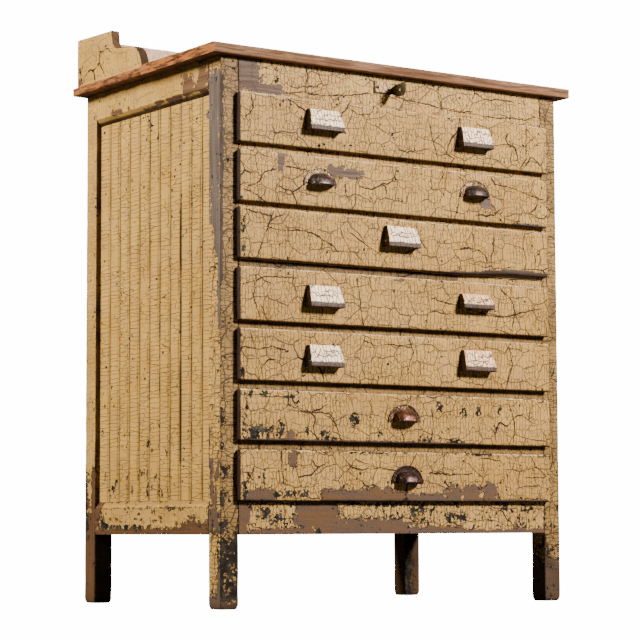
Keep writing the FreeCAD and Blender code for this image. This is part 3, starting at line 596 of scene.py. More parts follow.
brown_iron = iron_material("brown_iron", (0.026, 0.013, 0.011, 1), (0.055, 0.028, 0.024, 1),
                           (0.15, 0.05, 0.02, 1), (0.16, 0.08, 0.05, 1), (0.05, 0.025, 0.018, 1),
                           rust_amount=0.2, coat_cover=0.2, gloss=0.24)
dark_iron = iron_material("dark_gun_iron", (0.030, 0.022, 0.018, 1), (0.075, 0.055, 0.046, 1),
                          (0.34, 0.13, 0.03, 1), (0.62, 0.36, 0.15, 1), (0.36, 0.19, 0.07, 1),
                          rust_amount=0.45, coat_cover=0.75, gloss=0.26)
screw_brass = iron_material("tarnished_screw_brass", (0.035, 0.016, 0.007, 1), (0.10, 0.048, 0.018, 1),
                            (0.24, 0.09, 0.025, 1), (0.5, 0.4, 0.3, 1), (0.3, 0.2, 0.1, 1),
                            coat_cover=-1.0, gloss=0.3)
print("irons", white_iron.name, rusty_iron.name)

# %% [markdown]
# ## Surfaces from arrays
# A worn board is more than a box: its edges are rounded unevenly and its faces are a little out of
# true. The noise that does this is a lattice of random numbers with smooth steps between them.

# %% Lattice noise
def lattice(cells, seed):
    """A number from 0 to 1 for each whole-numbered cell, mixed from its three indices."""
    mixed = (cells[..., 0] * 73856093) ^ (cells[..., 1] * 19349663) ^ (cells[..., 2] * 83492791)
    mixed = mixed ^ (seed * 2654435)
    mixed = (mixed ^ (mixed >> 13)) * 1274126177
    return ((mixed ^ (mixed >> 16)) & 0xFFFF) / 0xFFFF


def lumps(points, size, seed=0):
    """Smooth noise from -1 to 1, with features of the given size in metres."""
    scaled = np.asarray(points) / size
    cells = np.floor(scaled).astype(np.int64)
    part = scaled - cells
    part = part * part * (3 - 2 * part)
    total = np.zeros(len(scaled))
    for corner in np.ndindex(2, 2, 2):
        weight = np.prod(np.where(corner, part, 1 - part), axis=1)
        total += weight * lattice(cells + np.array(corner), seed)
    return total * 2 - 1


print("lumps", lumps(np.eye(3), 0.4).round(2))

# %% [markdown]
# A board's surface is six grids laid on a box. Each point is pulled in to a smaller box and pushed
# out again by the rounding radius, which leaves the faces flat and rounds every edge and corner.
# The grids' shared borders are merged, so the skin is closed.

# %% Rounded boards
EDGE_REACH = 0.016


def stops(low, high, radius, step_length):
    """Grid lines along one side: three bends into each rounded edge, even steps between."""
    bends = radius * (1 - np.tan(np.radians([45.0, 30.0, 15.0])))
    count = max(2, int(round((high - low - 2 * radius) / step_length)) + 1)
    middle = np.linspace(low + radius, high - radius, count)
    return np.concatenate([low + bends, middle, high - bends[::-1]])


def grid_faces(rows, columns):
    """Quads of a grid of rows by columns points, counted row by row."""
    first = np.arange(rows - 1)[:, None] * columns + np.arange(columns - 1)[None, :]
    return np.stack([first, first + 1, first + columns + 1, first + columns], axis=-1).reshape(-1, 4)


def board(low, high, radius=0.002, step_length=0.012, grain_axis=None, seed=0, worn=0.0006):
    """A worn board between two corners.

    Six grids on a box; each point p becomes inner(p) + radius * unit(p - inner(p)), where inner
    clamps p to the box less the radius. Lattice noise then wears it inward, most at its edges.
    """
    low = np.array(low, float)
    high = np.array(high, float)
    lines = [stops(low[axis], high[axis], radius, step_length) for axis in range(3)]
    along = int(np.argmax(high - low)) if grain_axis is None else grain_axis
    flats, quads, maps, base = [], [], [], 0
    for normal in range(3):
        first, second = [(1, 2), (2, 0), (0, 1)][normal]
        for side in (0, 1):
            a, b = np.meshgrid(lines[first], lines[second], indexing="ij")
            flat = np.empty(a.shape + (3,))
            flat[..., first] = a
            flat[..., second] = b
            flat[..., normal] = (low, high)[side][normal]
            faces = grid_faces(*a.shape)
            if side == 0:
                faces = faces[:, ::-1]
            across = second if first == along else first
            main = second if across == first else first
            flat = flat.reshape(-1, 3)
            shift = np.array([seed * 0.731 + normal * 0.13, seed * 1.317 + side * 0.41 + normal * 0.77])
            uv = flat[:, [main, across]] + shift
            maps.append(uv[faces])
            quads.append(faces + base)
            flats.append(flat)
            base += len(flat)
    flat = np.concatenate(flats)
    faces = np.concatenate(quads)
    _, keep, back = np.unique(np.round(flat, 7), axis=0, return_index=True, return_inverse=True)
    flat = flat[keep]
    faces = back.reshape(-1)[faces]
    inner = np.clip(flat, low + radius, high - radius)
    out = flat - inner
    out /= np.linalg.norm(out, axis=1, keepdims=True)
    gaps = np.sort(np.minimum(flat - low, high - flat), axis=1)
    rim = np.clip(1 - gaps[:, 1] / EDGE_REACH, 0, 1)
    wear = worn * (0.5 + 0.5 * lumps(flat, 0.045, seed)) * 0.6
    wear += worn * 2.2 * rim ** 3 * np.clip(lumps(flat, 0.018, seed + 7) + 0.1, 0, 1)
    points = inner + out * radius - out * wear[:, None]
    return {"points": points, "faces": faces, "uv": np.concatenate(maps), "rim": rim}


print("board", len(board((0, 0, 0), (0.1, 0.02, 0.02))["points"]), "points")

# %% [markdown]
# Mouldings, chamfered rails and beaded boards are one outline carried along a line. The outline is
# a closed list of corners, divided finely, so the same wear can roughen it.

# %% Carried outlines
OUTLINE_REACH = 0.012


def divided(corners, spacing):
    """A closed outline with each side divided into even parts, and how far round each point is."""
    corners = np.array(corners, float)
    nexts = np.roll(corners, -1, axis=0)
    spans = []
    for start, end in zip(corners, nexts):
        count = max(1, int(np.ceil(np.linalg.norm(end - start) / spacing)))
        spans.append(start + (end - start) * np.arange(count)[:, None] / count)
    points = np.concatenate(spans)
    round_way = np.concatenate([[0], np.cumsum(np.linalg.norm(np.diff(points, axis=0), axis=1))])
    return points, round_way


def tube_faces(rings, count):
    """Quads of a tube of rings of points, and fans at both ends round two more points."""
    ring = np.arange(count)
    following = np.roll(ring, -1)
    row = (np.arange(rings - 1) * count)[:, None]
    quads = np.stack([row + ring, row + following, row + count + following, row + count + ring], axis=-1)
    last = (rings - 1) * count
    hub = np.full(count, rings * count)
    low_cap = np.stack([following, ring, hub, hub], axis=-1)
    high_cap = np.stack([last + ring, last + following, hub + 1, hub + 1], axis=-1)
    return np.concatenate([quads.reshape(-1, 4), low_cap, high_cap])


def carried(corners, start, end, to_space, spacing=0.004, step_length=0.012, seed=0, worn=0.0005):
    """A closed outline carried from start to end, capped at both ends with fans.

    to_space turns outline points (n, 2) and one place along the way into points in space. The rim
    value falls off from the outline's corners and from both ends.
    """
    outline, round_way = divided(corners, spacing)
    ways = np.linspace(start, end, max(2, int(round((end - start) / step_length)) + 1))
    rings = np.stack([to_space(outline, way) for way in ways])
    count = len(outline)
    flat = rings.reshape(-1, 3)
    corner_gap = np.min(np.linalg.norm(outline[:, None] - np.array(corners)[None], axis=2), axis=1)
    end_gap = np.minimum(ways - start, end - ways)
    gap = np.minimum(corner_gap[None, :], end_gap[:, None]).reshape(-1)
    rim = np.clip(1 - gap / OUTLINE_REACH, 0, 1)
    middle = rings.mean(axis=1, keepdims=True)
    out = (rings - middle).reshape(-1, 3)
    out /= np.maximum(np.linalg.norm(out, axis=1, keepdims=True), 1e-9)
    wear = worn * (0.4 + 0.4 * lumps(flat, 0.03, seed))
    wear = wear + worn * 1.6 * rim ** 3 * np.clip(lumps(flat, 0.015, seed + 3), 0, 1)
    points = flat - out * wear[:, None]
    v_edges = np.append(round_way, round_way[-1] + np.linalg.norm(outline[0] - outline[-1]))
    v0, v1 = v_edges[:-1], v_edges[1:]
    u0 = np.repeat(ways[:-1], count)
    u1 = np.repeat(ways[1:], count)
    tiles = len(ways) - 1
    uv = np.stack([np.stack([u0, np.tile(v0, tiles)], -1), np.stack([u0, np.tile(v1, tiles)], -1),
                   np.stack([u1, np.tile(v1, tiles)], -1), np.stack([u1, np.tile(v0, tiles)], -1)], axis=1)
    uv = uv + np.array([seed * 0.731, seed * 1.317])
    centre = outline.mean(axis=0)[None]
    hubs = np.stack([to_space(centre, ways[0])[0], to_space(centre, ways[-1])[0]])
    cap_uv = np.repeat(outline[:, None, :], 4, axis=1) + seed
    return {"points": np.concatenate([points, hubs]), "faces": tube_faces(len(ways), count),
            "uv": np.concatenate([uv, cap_uv, cap_uv]), "rim": np.concatenate([rim, [0, 0]])}


print("tube", len(tube_faces(3, 4)), "faces")

# %% [markdown]
# Every surface ends in the same place: one mesh with its board map and its point values, riding on
# its body and standing for its CAD node. Fans repeat their last corner, which is dropped here.

# %% From arrays to pieces
POINT_VALUES = {"rim": 0.0, "bare": -1.0, "black": -1.0, "crack_side": 1.0, "crack_near": 0.0,
                "grime": 0.0, "coat": 0.0, "tint": 0.0}


def joined(shapes):
    """Several surfaces as one set of arrays."""
    base = 0
    whole = {"points": [], "faces": [], "uv": []}
    whole.update({name: [] for name in POINT_VALUES})
    for shape in shapes:
        whole["points"].append(shape["points"])
        whole["faces"].append(shape["faces"] + base)
        whole["uv"].append(shape["uv"])
        for name in POINT_VALUES:
            whole[name].append(shape.get(name, np.full(len(shape["points"]), POINT_VALUES[name])))
        base += len(shape["points"])
    return {name: np.concatenate(parts) for name, parts in whole.items()}


def dress(name, shapes, material, body, nodes=(), smooth_angle=40.0):
    """Make a piece from surfaces, give it its finish, and fit it into the frame."""
    whole = joined(shapes)
    faces = whole["faces"]
    fan = faces[:, 2] == faces[:, 3]
    mesh = bpy.data.meshes.new(name)
    mesh.from_pydata(whole["points"].tolist(), [], faces[~fan].tolist() + faces[fan][:, :3].tolist())
    uv = np.concatenate([whole["uv"][~fan].reshape(-1, 2), whole["uv"][fan][:, :3].reshape(-1, 2)])
    mesh.uv_layers.new(name="board").data.foreach_set("uv", uv.astype(np.float32).ravel())
    for value in POINT_VALUES:
        mesh.attributes.new(value, "FLOAT", "POINT").data.foreach_set("value", whole[value].astype(np.float32))
    mesh.materials.append(material)
    mesh.shade_smooth()
    mesh.set_sharp_from_angle(angle=math.radians(smooth_angle))
    made = bpy.data.objects.new(name, mesh)
    bpy.context.collection.objects.link(made)
    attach(made, body)
    if nodes:
        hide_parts(*nodes)
    print(name, len(mesh.polygons), "faces")
    return made


# %% [markdown]
# Where paint is lost is known for each board. A patch is an oval or a strip with rounded ends; its
# field is 1 in the middle, 0 at its border and falls to -1 outside. Low boards have lost more, so
# the field also starts higher near the floor. Noise in the finish makes all these borders ragged.

# %% Fields of lost paint and long cracks
PATCH_SLOPE = 0.02
CRACK_REACH = 0.009
END_DEPTH = 0.0025


def patch_field(across, up, patches, most=0.75):
    """Highest of the patches' fields at each point; a patch is (x, z, half width, half height).

    A field is 1 less the distance outside the patch's core, over the slope's length; the core is the
    patch drawn in by that length on every side, so the border at zero has round ends.
    """
    field = np.full(len(across), -1.0)
    for x, z, half_width, half_height in patches:
        size = min(half_width, half_height, PATCH_SLOPE)
        gap_x = np.maximum(np.abs(across - x) - half_width + size, 0)
        gap_z = np.maximum(np.abs(up - z) - half_height + size, 0)
        field = np.maximum(field, np.clip(1 - np.hypot(gap_x, gap_z) / size, -1, most))
    return field


def crack_field(across, up, paths):
    """Distance to the nearest path, with the sign of its side, and without.

    For a stretch from a to b, the nearest place is a + t (b - a), where t is (p - a).(b - a) over
    |b - a| squared, kept between 0 and 1.
    """
    points = np.stack([across, up], axis=1)
    side = np.full(len(points), 1.0)
    near = np.full(len(points), 1.0)
    for path in paths:
        path = np.array(path, float)
        for start, end in zip(path[:-1], path[1:]):
            run = end - start
            offset = points - start
            share = np.clip(offset @ run / (run @ run), 0, 1)
            gap = np.linalg.norm(offset - share[:, None] * run, axis=1)
            turn = np.sign(run[0] * offset[:, 1] - run[1] * offset[:, 0])
            closer = gap < near
            side = np.where(closer, gap * turn, side)
            near = np.where(closer, gap, near)
    return side, near


def low_wear(up, start=0.50, amount=0.45):
    """Extra loss of paint from a given height down to the floor."""
    return amount * np.clip((start - up) / start, 0, 1)


def wear_front(shape, bare=(), black=(), cracks=(), ends_bare=False):
    """Set the fields of a board that faces the front, from places (x, z) on its face."""
    points = shape["points"]
    across, up = points[:, 0], points[:, 2]
    shape["bare"] = np.maximum(patch_field(across, up, bare), -1.0 + low_wear(up))
    dark = np.maximum(patch_field(across, up, black, most=0.3), -1.0 + low_wear(up, amount=0.38))
    shape["black"] = np.where(shape["bare"] > 0.4, -1.0, dark)
    side, near = crack_field(across, up, cracks)
    shape["crack_side"] = side
    shape["crack_near"] = CRACK_REACH - near
    if ends_bare:
        at_end = np.abs(across) > np.abs(across).max() - END_DEPTH
        shape["bare"] = np.where(at_end, 0.8, shape["bare"])
    return shape


# %% [markdown]
# ## The case
# Posts and rails are plain square timber. Each is one worn board between the corners that the model
# gives, less the tenons, which nobody can see. The front left post is the most worn: its side is
# stripped in a long band, its corner is chipped to black, and its foot is bare.

# %% Posts
POST_IN = 0.412
FRONT_PLANE = -0.272
POST_BACK = -0.224
REAR_POST_FRONT = 0.262


def corners(name):
    """Lowest and highest corner of a CAD node as arrays."""
    low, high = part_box(name)
    return np.array(low), np.array(high)


POST_RADIUS = 0.0028
FACE_DEPTH = 0.002
FOOT_ROUND = 0.16
FOOT_HEIGHT = 0.011


def wear_post(shape, black=(), black_side=(), bare_front=(), bare_side=(), foot=0.05, foot_bare=0.45,
              lacy=0.42, front_darkening=0.50, side_share=1.0):
    """Round a post's foot and set its fields, from places (x, z) on its front and (y, z) on its side.

    The foot is drawn towards the post's middle by a share that grows as the square of the way down
    from FOOT_HEIGHT to the floor.
    """
    points = shape["points"]
    up = points[:, 2]
    at_front = points[:, 1] < points[:, 1].min() + FACE_DEPTH
    centre = (points[:, :2].min(axis=0) + points[:, :2].max(axis=0)) / 2
    rounding = FOOT_ROUND * np.clip(1 - up / FOOT_HEIGHT, 0, 1) ** 2
    points[:, :2] = centre + (points[:, :2] - centre) * (1 - rounding[:, None])
    share = np.where(at_front, 1.0, side_share)
    field = -1.0 + share * low_wear(up, 0.45, 0.5)
    field = np.maximum(field, foot_bare + 0.5 - up / foot)
    front_field = patch_field(points[:, 0], up, bare_front)
    side_field = patch_field(points[:, 1], up, bare_side)
    field = np.maximum(field, np.where(at_front, front_field, side_field))
    shape["bare"] = field
    dark = -1.0 + share * low_wear(up, 0.42, lacy)
    front_black = patch_field(points[:, 0], up, black, most=0.5)
    side_black = patch_field(points[:, 1], up, black_side, most=0.5)
    shape["black"] = np.maximum(dark, np.where(at_front, front_black, side_black))
    shape["tint"] = np.where(at_front, 0.35, 0.0)
    # The front face is darkened by the given share. On the rear posts that face is the step in the recess
    # beside the side panel, where the darkening is painted shade.
    shape["grime"] = np.where(at_front, front_darkening + 0.15 * lumps(points, 0.03, 3), 0.0)
    return shape


post_shapes = {}
for name in ("post_front_left", "post_front_right", "post_rear_left", "post_rear_right"):
    low, high = corners(name)
    post_shapes[name] = board(low, high, POST_RADIUS, 0.007, seed=len(post_shapes) + 1, worn=0.0004)
wear_post(post_shapes["post_front_left"],
          black=[(-0.436, 0.085, 0.030, 0.066), (-0.452, 0.402, 0.006, 0.018), (-0.451, 0.339, 0.005, 0.008),
                 (-0.444, 0.286, 0.011, 0.011), (-0.452, 0.228, 0.005, 0.020), (-0.449, 0.172, 0.009, 0.016)],
          black_side=[(-0.240, 0.165, 0.004, 0.022), (-0.264, 0.120, 0.005, 0.040)],
          bare_front=[(-0.430, 0.010, 0.03, 0.010), (-0.452, 1.02, 0.004, 0.10), (-0.454, 0.80, 0.002, 0.12)],
          bare_side=[(-0.246, 1.075, 0.030, 0.055), (-0.244, 0.96, 0.026, 0.085),
                     (-0.250, 0.86, 0.020, 0.060), (-0.258, 0.79, 0.014, 0.060),
                     (-0.266, 0.68, 0.007, 0.100), (-0.227, 0.345, 0.003, 0.040),
                     (-0.240, 0.185, 0.026, 0.024), (-0.238, 0.270, 0.005, 0.045),
                     (-0.254, 0.250, 0.004, 0.040), (-0.264, 0.300, 0.003, 0.030),
                     (-0.246, 0.225, 0.010, 0.012), (-0.239, 0.415, 0.003, 0.008),
                     (-0.266, 0.045, 0.008, 0.045)], foot=0.03, side_share=0.25)
wear_post(post_shapes["post_front_right"], bare_front=[(0.435, 0.05, 0.03, 0.05)], foot=0.10)
# The rear left post's front face lies in the recess and is darkened strongly: painted shade.
wear_post(post_shapes["post_rear_left"], black_side=[(0.300, 0.26, 0.004, 0.05), (0.298, 0.17, 0.006, 0.03)],
          bare_side=[(0.286, 0.08, 0.03, 0.09), (0.272, 0.24, 0.010, 0.06)], foot=0.16, foot_bare=0.9,
          lacy=0.20, front_darkening=0.88)
wear_post(post_shapes["post_rear_right"], black=[(0.425, 0.08, 0.012, 0.08)], foot=0.16,
          foot_bare=0.9, lacy=0.20)
post_shapes["post_rear_left"]["tint"][:] = 0.0
for name, shape in post_shapes.items():
    post_paint = paint_post if "front" in name else paint_side
    dress(name + "_painted", [shape], post_paint, "case", [name])

# %% [markdown]
# The rails between the posts are boards too. The top one keeps most of its paint, the bottom one
# about half. The six between the drawers are narrow strips, darkened with painted shade where a front
# shades them.

# %% Front rails
low, high = corners("front_top_rail")
low[0], high[0] = -POST_IN, POST_IN
top_rail = board(low, high, 0.0012, 0.004, seed=11, worn=0.0006)
wear_front(top_rail,
           bare=[(-0.385, 1.122, 0.032, 0.030), (-0.345, 1.098, 0.050, 0.010), (-0.398, 1.148, 0.018, 0.008)],
           black=[(-0.316, 1.145, 0.003, 0.004), (-0.082, 1.146, 0.002, 0.003), (-0.376, 1.143, 0.003, 0.004),
                  (0.352, 1.137, 0.002, 0.002), (0.367, 1.139, 0.002, 0.002)],
           cracks=[[(-0.29, 1.093), (-0.256, 1.100), (-0.20, 1.098), (-0.13, 1.106), (-0.071, 1.117)],
                   [(0.0, 1.117), (0.025, 1.112), (0.09, 1.108), (0.164, 1.099), (0.21, 1.104)],
                   [(0.26, 1.098), (0.28, 1.096), (0.33, 1.101), (0.368, 1.100), (0.40, 1.112)],
                   [(-0.24, 1.159), (-0.236, 1.135), (-0.243, 1.100)],
                   [(0.12, 1.155), (0.118, 1.13), (0.127, 1.10)]])
dress("front_top_rail_painted", [top_rail], paint_front, "case", ["front_top_rail"])

low, high = corners("front_bottom_rail")
low[0], high[0] = -POST_IN, POST_IN
bottom_rail = board(low, high, 0.0015, 0.004, seed=12, worn=0.0004)
wear_front(bottom_rail,
           bare=[(-0.400, 0.188, 0.016, 0.036), (-0.215, 0.195, 0.055, 0.032), (-0.09, 0.170, 0.12, 0.016),
                 (0.08, 0.160, 0.10, 0.010), (0.27, 0.156, 0.14, 0.006), (-0.30, 0.158, 0.08, 0.008)],
           black=[(-0.345, 0.20, 0.010, 0.012), (-0.310, 0.190, 0.012, 0.010), (-0.29, 0.163, 0.03, 0.008),
                  (-0.14, 0.225, 0.03, 0.006), (-0.03, 0.222, 0.035, 0.008), (0.05, 0.205, 0.02, 0.01),
                  (0.16, 0.19, 0.03, 0.01), (0.36, 0.21, 0.02, 0.008)])
lacy = -0.46 - 0.25 * np.clip(bottom_rail["points"][:, 0] / 0.4, 0, 1)
bottom_rail["black"] = np.where(bottom_rail["bare"] > 0.1, -1.0, np.maximum(bottom_rail["black"], lacy))
bottom_rail["bare"] = np.maximum(bottom_rail["bare"], -0.50)
dress("front_bottom_rail_painted", [bottom_rail], paint_front, "case", ["front_bottom_rail"])

DRAWER_PITCH = 0.1255
OPENINGS_BOTTOM = 0.2275
RAIL_HEIGHT = 0.0255
DRAWER_COUNT = 7
RAIL_SHADE_DEPTH = 0.014
WORN_RAIL = 3
LIT_RAIL_FROM = 0.17
low, high = corners("drawer_rails")
rail_shapes = []
for count in range(DRAWER_COUNT - 1):
    floor = OPENINGS_BOTTOM + (count + 1) * DRAWER_PITCH
    rail = board((-POST_IN, low[1], floor - RAIL_HEIGHT), (POST_IN, high[1], floor), 0.0012, 0.008,
                 seed=20 + count)
    wear_front(rail)
    # Painted shade: the strip just under each front is darkened most and the rest of the rail less, as the
    # front above shades it. The rails under the top two drawers, and the right part of the one under the torn
    # drawer, get little, since light reaches them.
    under_front = rail["points"][:, 2] > floor - RAIL_SHADE_DEPTH
    rail["grime"] = np.where(under_front, 0.80, 0.45) * (0.25 if count > WORN_RAIL else 1.0)
    if count == WORN_RAIL:
        rail["grime"] = np.where(rail["points"][:, 0] > LIT_RAIL_FROM, 0.12, rail["grime"])
    rail_shapes.append(rail)
dress("drawer_rails_painted", rail_shapes, paint_front, "case", ["drawer_rails"])

# %% [markdown]
# The side rails meet the beadboard with a long chamfer. Their section is the CAD's own outline,
# carried from the front post to the rear one and mirrored for the other side.

# %% Side rails
SIDE_OUT = 0.457
PANEL_FACE = 0.445
SIDE_IN = 0.435
CASE_TOP = 1.1595
PANEL_TOP = 1.0835
LEG_TOP = 0.154
CHAMFER = 0.015
LAP = 0.0082


def mirror_x(shape):
    """The same surface on the other side of the middle plane, turned so it still faces outwards."""
    points = shape["points"] * np.array([-1.0, 1.0, 1.0])
    faces = shape["faces"]
    fan = faces[:, 2] == faces[:, 3]
    turned = faces[:, ::-1].copy()
    uv = shape["uv"][:, ::-1].copy()
    turned[fan] = faces[fan][:, [1, 0, 2, 3]]
    uv[fan] = shape["uv"][fan][:, [1, 0, 2, 3]]
    return {**shape, "points": points, "faces": turned, "uv": uv + 0.37}


def side_rail(far, near_panel, lap, step_in, seed):
    """One left-hand side rail: its section (x, z) carried along y."""
    section = [(-SIDE_OUT, far), (-SIDE_OUT, near_panel + step_in), (-PANEL_FACE, near_panel),
               (-PANEL_FACE, lap), (-SIDE_IN, lap), (-SIDE_IN, far)]
    if far > near_panel:
        section = section[::-1]

    def to_space(outline, way):
        """Outline points (x, z) at one place along y."""
        return np.stack([outline[:, 0], np.full(len(outline), way), outline[:, 1]], axis=1)

    return carried(section, POST_BACK, REAR_POST_FRONT, to_space, seed=seed, worn=0.0006)


high_rail = side_rail(CASE_TOP, PANEL_TOP, PANEL_TOP + LAP, CHAMFER, 31)
low_rail = side_rail(LEG_TOP, OPENINGS_BOTTOM, OPENINGS_BOTTOM - LAP, -CHAMFER, 32)


def wear_side(shape, bare=(), black=(), start=0.50, amount=0.45):
    """Fields of a piece that faces sideways, from places (y, z) on it."""
    points = shape["points"]
    along, up = points[:, 1], points[:, 2]
    shape["bare"] = np.maximum(patch_field(along, up, bare), -1.0 + low_wear(up, start, amount))
    shape["black"] = np.maximum(patch_field(along, up, black), -1.0 + low_wear(up, start, amount * 0.8))
    return shape


wear_side(high_rail,
          bare=[(0.172, 1.104, 0.024, 0.006), (0.118, 1.105, 0.008, 0.005), (-0.02, 1.096, 0.020, 0.004),
                (-0.08, 1.095, 0.030, 0.005), (0.03, 1.092, 0.030, 0.002), (-0.198, 1.118, 0.020, 0.034),
                (-0.140, 1.120, 0.025, 0.026)])
FLECKS = 70
BARE_FLECKS = 25
chips = np.random.default_rng(8)
rail_flecks = [(chips.uniform(-0.2, 0.25), chips.uniform(0.168, 0.215), 0.0045, 0.0025) for _ in range(FLECKS)]
worn_places = [(0.02, 0.158, 0.24, 0.011), (-0.17, 0.168, 0.06, 0.016), (0.250, 0.195, 0.012, 0.030)]
black_places = [(0.14, 0.171, 0.09, 0.004), (0.235, 0.185, 0.014, 0.02)]
wear_side(low_rail, bare=worn_places + rail_flecks[:BARE_FLECKS],
          black=black_places + rail_flecks[BARE_FLECKS:])
low_rail["black"] = np.minimum(low_rail["black"], 0.25)

# %% [markdown]
# The rails' chamfers are darkened with painted shade: strongly on the upper rail, whose chamfer faces
# down, and lightly on the lower one. The back rails never had any paint, so they are plain boards in
# aged wood.

# %% Painted shade on the chamfers, and back rails
CHAMFER_SHADE_FROM = 0.0045
CHAMFER_FADE = 0.0025
# Painted shade down each chamfer, from a little way in from the outer face.
for rail in (high_rail, low_rail):
    depth = rail["points"][:, 0] + SIDE_OUT
    share = 0.97 if rail is high_rail else 0.3
    rail["grime"] = share * np.clip((depth - CHAMFER_SHADE_FROM) / CHAMFER_FADE, 0, 1)
BACK_BOARD_FRONT = 0.300
BACK_RAIL_THICK = 0.022
BACK_RAIL_HEIGHT = 0.060
back_rails = []
for index, z in enumerate((LEG_TOP, CASE_TOP - BACK_RAIL_HEIGHT)):
    back_rails.append(board((-POST_IN, BACK_BOARD_FRONT - BACK_RAIL_THICK, z),
                            (POST_IN, BACK_BOARD_FRONT, z + BACK_RAIL_HEIGHT), 0.001, 0.02, seed=34 + index))
side_pieces = [high_rail, low_rail, mirror_x(high_rail), mirror_x(low_rail)]
dress("side_rails_painted", side_pieces, paint_side, "case", ["frame_rails"], 30.0)
dress("back_rails_bare", back_rails, back_wood, "case", ["frame_rails"])

# %% [markdown]
# Each side is closed by eleven beadboard strips. A strip's section has a round bead along its front
# edge, a small groove beside it and a chamfer at its rear edge. Carrying it up the side as a fine
# grid lets each strip wear and warp a little by itself, so the lines between them stay alive.

# %% Beadboard
PANEL_LOW = 0.2195
PANEL_HIGH = 1.0915
STRIP_COUNT = 11
BOARD_PITCH = (REAR_POST_FRONT - POST_BACK) / STRIP_COUNT
BEAD = 0.007
QUIRK = 0.0016
TONGUE = 0.008
BOARD_GAP = 0.0003
OPEN_JOINT = POST_BACK + 3 * BOARD_PITCH
OPEN_HEIGHT = 0.58
OPEN_HALF = 0.28
JOINT_FADE = 0.0020


def bead_section(index):
    """Outline (x, y) of one strip, from its front edge round to its back."""
    start = POST_BACK + index * BOARD_PITCH + BOARD_GAP / 2
    end = start + BOARD_PITCH - BOARD_GAP
    turn = np.linspace(np.pi, 0.0, 9)
    bead_x = -PANEL_FACE + QUIRK - QUIRK * np.sin(turn)
    bead_y = start + BEAD / 2 + BEAD / 2 * np.cos(turn)
    front = list(zip(bead_x, bead_y)) if index else [(-PANEL_FACE, start - TONGUE)]
    front.append((-PANEL_FACE, start + BEAD + QUIRK))
    if index == STRIP_COUNT - 1:
        rear = [(-PANEL_FACE, end + TONGUE), (-SIDE_IN, end + TONGUE)]
    else:
        rear = [(-PANEL_FACE, end - QUIRK), (-PANEL_FACE + QUIRK, end), (-SIDE_IN, end)]
    back_start = start if index else start - TONGUE
    return front + rear + [(-SIDE_IN, back_start)]


def strip(index):
    """One beadboard strip, carried up the panel, with dirt in its joints and beside its bead."""
    def to_space(outline, way):
        """Outline points (x, y) at one height."""
        return np.stack([outline[:, 0], outline[:, 1], np.full(len(outline), way)], axis=1)

    made = carried(bead_section(index)[::-1], PANEL_LOW, PANEL_HIGH, to_space, spacing=0.006,
                   step_length=0.010, seed=40 + index, worn=0.0004)
    made["rim"] = made["rim"] * 0.6
    across = made["points"][:, 1] - POST_BACK - index * BOARD_PITCH
    joint_gap = np.minimum(np.abs(across), np.abs(across - BOARD_PITCH))
    open_joint = np.abs(made["points"][:, 1] - OPEN_JOINT) < BOARD_PITCH / 2
    open_joint &= np.abs(made["points"][:, 2] - OPEN_HEIGHT) < OPEN_HALF
    reach = np.where(open_joint, 2.5 + 1.4 * lumps(made["points"], 0.05, 9), 1.7)
    joint_dirt = np.clip(reach - joint_gap / JOINT_FADE, 0, 1)
    joint_dirt *= np.where(open_joint, 1.0, np.clip(0.66 + 0.5 * lumps(made["points"], 0.04, index), 0, 1))
    quirk_dirt = np.clip(1.5 - np.abs(across - BEAD - QUIRK / 2) / QUIRK, 0, 1)
    quirk_dirt *= np.clip(0.20 + 0.5 * lumps(made["points"], 0.05, index + 20), 0, 1)
    made["grime"] = np.maximum(joint_dirt, quirk_dirt)
    made["uv"] = made["uv"] + np.array([0.0, 0.3 * index])
    return made


STRIP_FLECKS = 26
STRIP_BARE_FLECKS = 6
STRIP_BLACK = [(0.037, 1.049, 0.003, 0.008), (0.007, 1.022, 0.003, 0.007),
               (-0.0915, 0.72, 0.0014, 0.17), (-0.003, 0.62, 0.0012, 0.08)]
flecks = np.random.default_rng(5)
left_strips = []
for index in range(STRIP_COUNT):
    made = strip(index)
    low_flecks = [(flecks.uniform(-0.02, 0.24), 0.24 + 0.14 * flecks.random() ** 2, 0.0035, 0.007)
                  for _ in range(STRIP_FLECKS)]
    wear_side(made, bare=[(-0.203, 1.043, 0.010, 0.009)] + low_flecks[:STRIP_BARE_FLECKS],
              black=STRIP_BLACK + low_flecks[STRIP_BARE_FLECKS:], start=0.42, amount=0.25)
    left_strips.append(made)
dress("side_panel_left_beaded", left_strips, paint_panel, "case", ["side_panel_left"])
dress("side_panel_right_beaded", [mirror_x(made) for made in left_strips], paint_panel, "case",
      ["side_panel_right"])

# %% [markdown]
# ## The top and the gallery
# The front half of the top is one thick board whose rear edge is nosed over a thinner second board.
# Its outline runs along x.

# %% Top boards
TOP_HALF = 0.4855
TOP_FRONT = -0.292
TOP_JOINT = 0.017
TOP_HIGH = 1.1815
REAR_HIGH = 1.179
TOP_BACK = 0.328
TOP_EASE = 0.003
NOSING = 0.009
NOSING_FOOT = 0.005


def arc(centre, radius, start, end, count=5):
    """Points of an arc about a centre, between two angles in degrees."""
    turn = np.radians(np.linspace(start, end, count))
    return list(zip(centre[0] + radius * np.cos(turn), centre[1] + radius * np.sin(turn)))


top_section = (arc((TOP_FRONT + TOP_EASE, TOP_HIGH - TOP_EASE), TOP_EASE, 180, 90, 4)
               + arc((TOP_JOINT - NOSING, TOP_HIGH - NOSING), NOSING, 90, 0, 7)
               + arc((TOP_JOINT - NOSING_FOOT, CASE_TOP + NOSING_FOOT), NOSING_FOOT, 0, -90, 5)
               + arc((TOP_FRONT + TOP_EASE, CASE_TOP + TOP_EASE), TOP_EASE, -90, -180, 4))


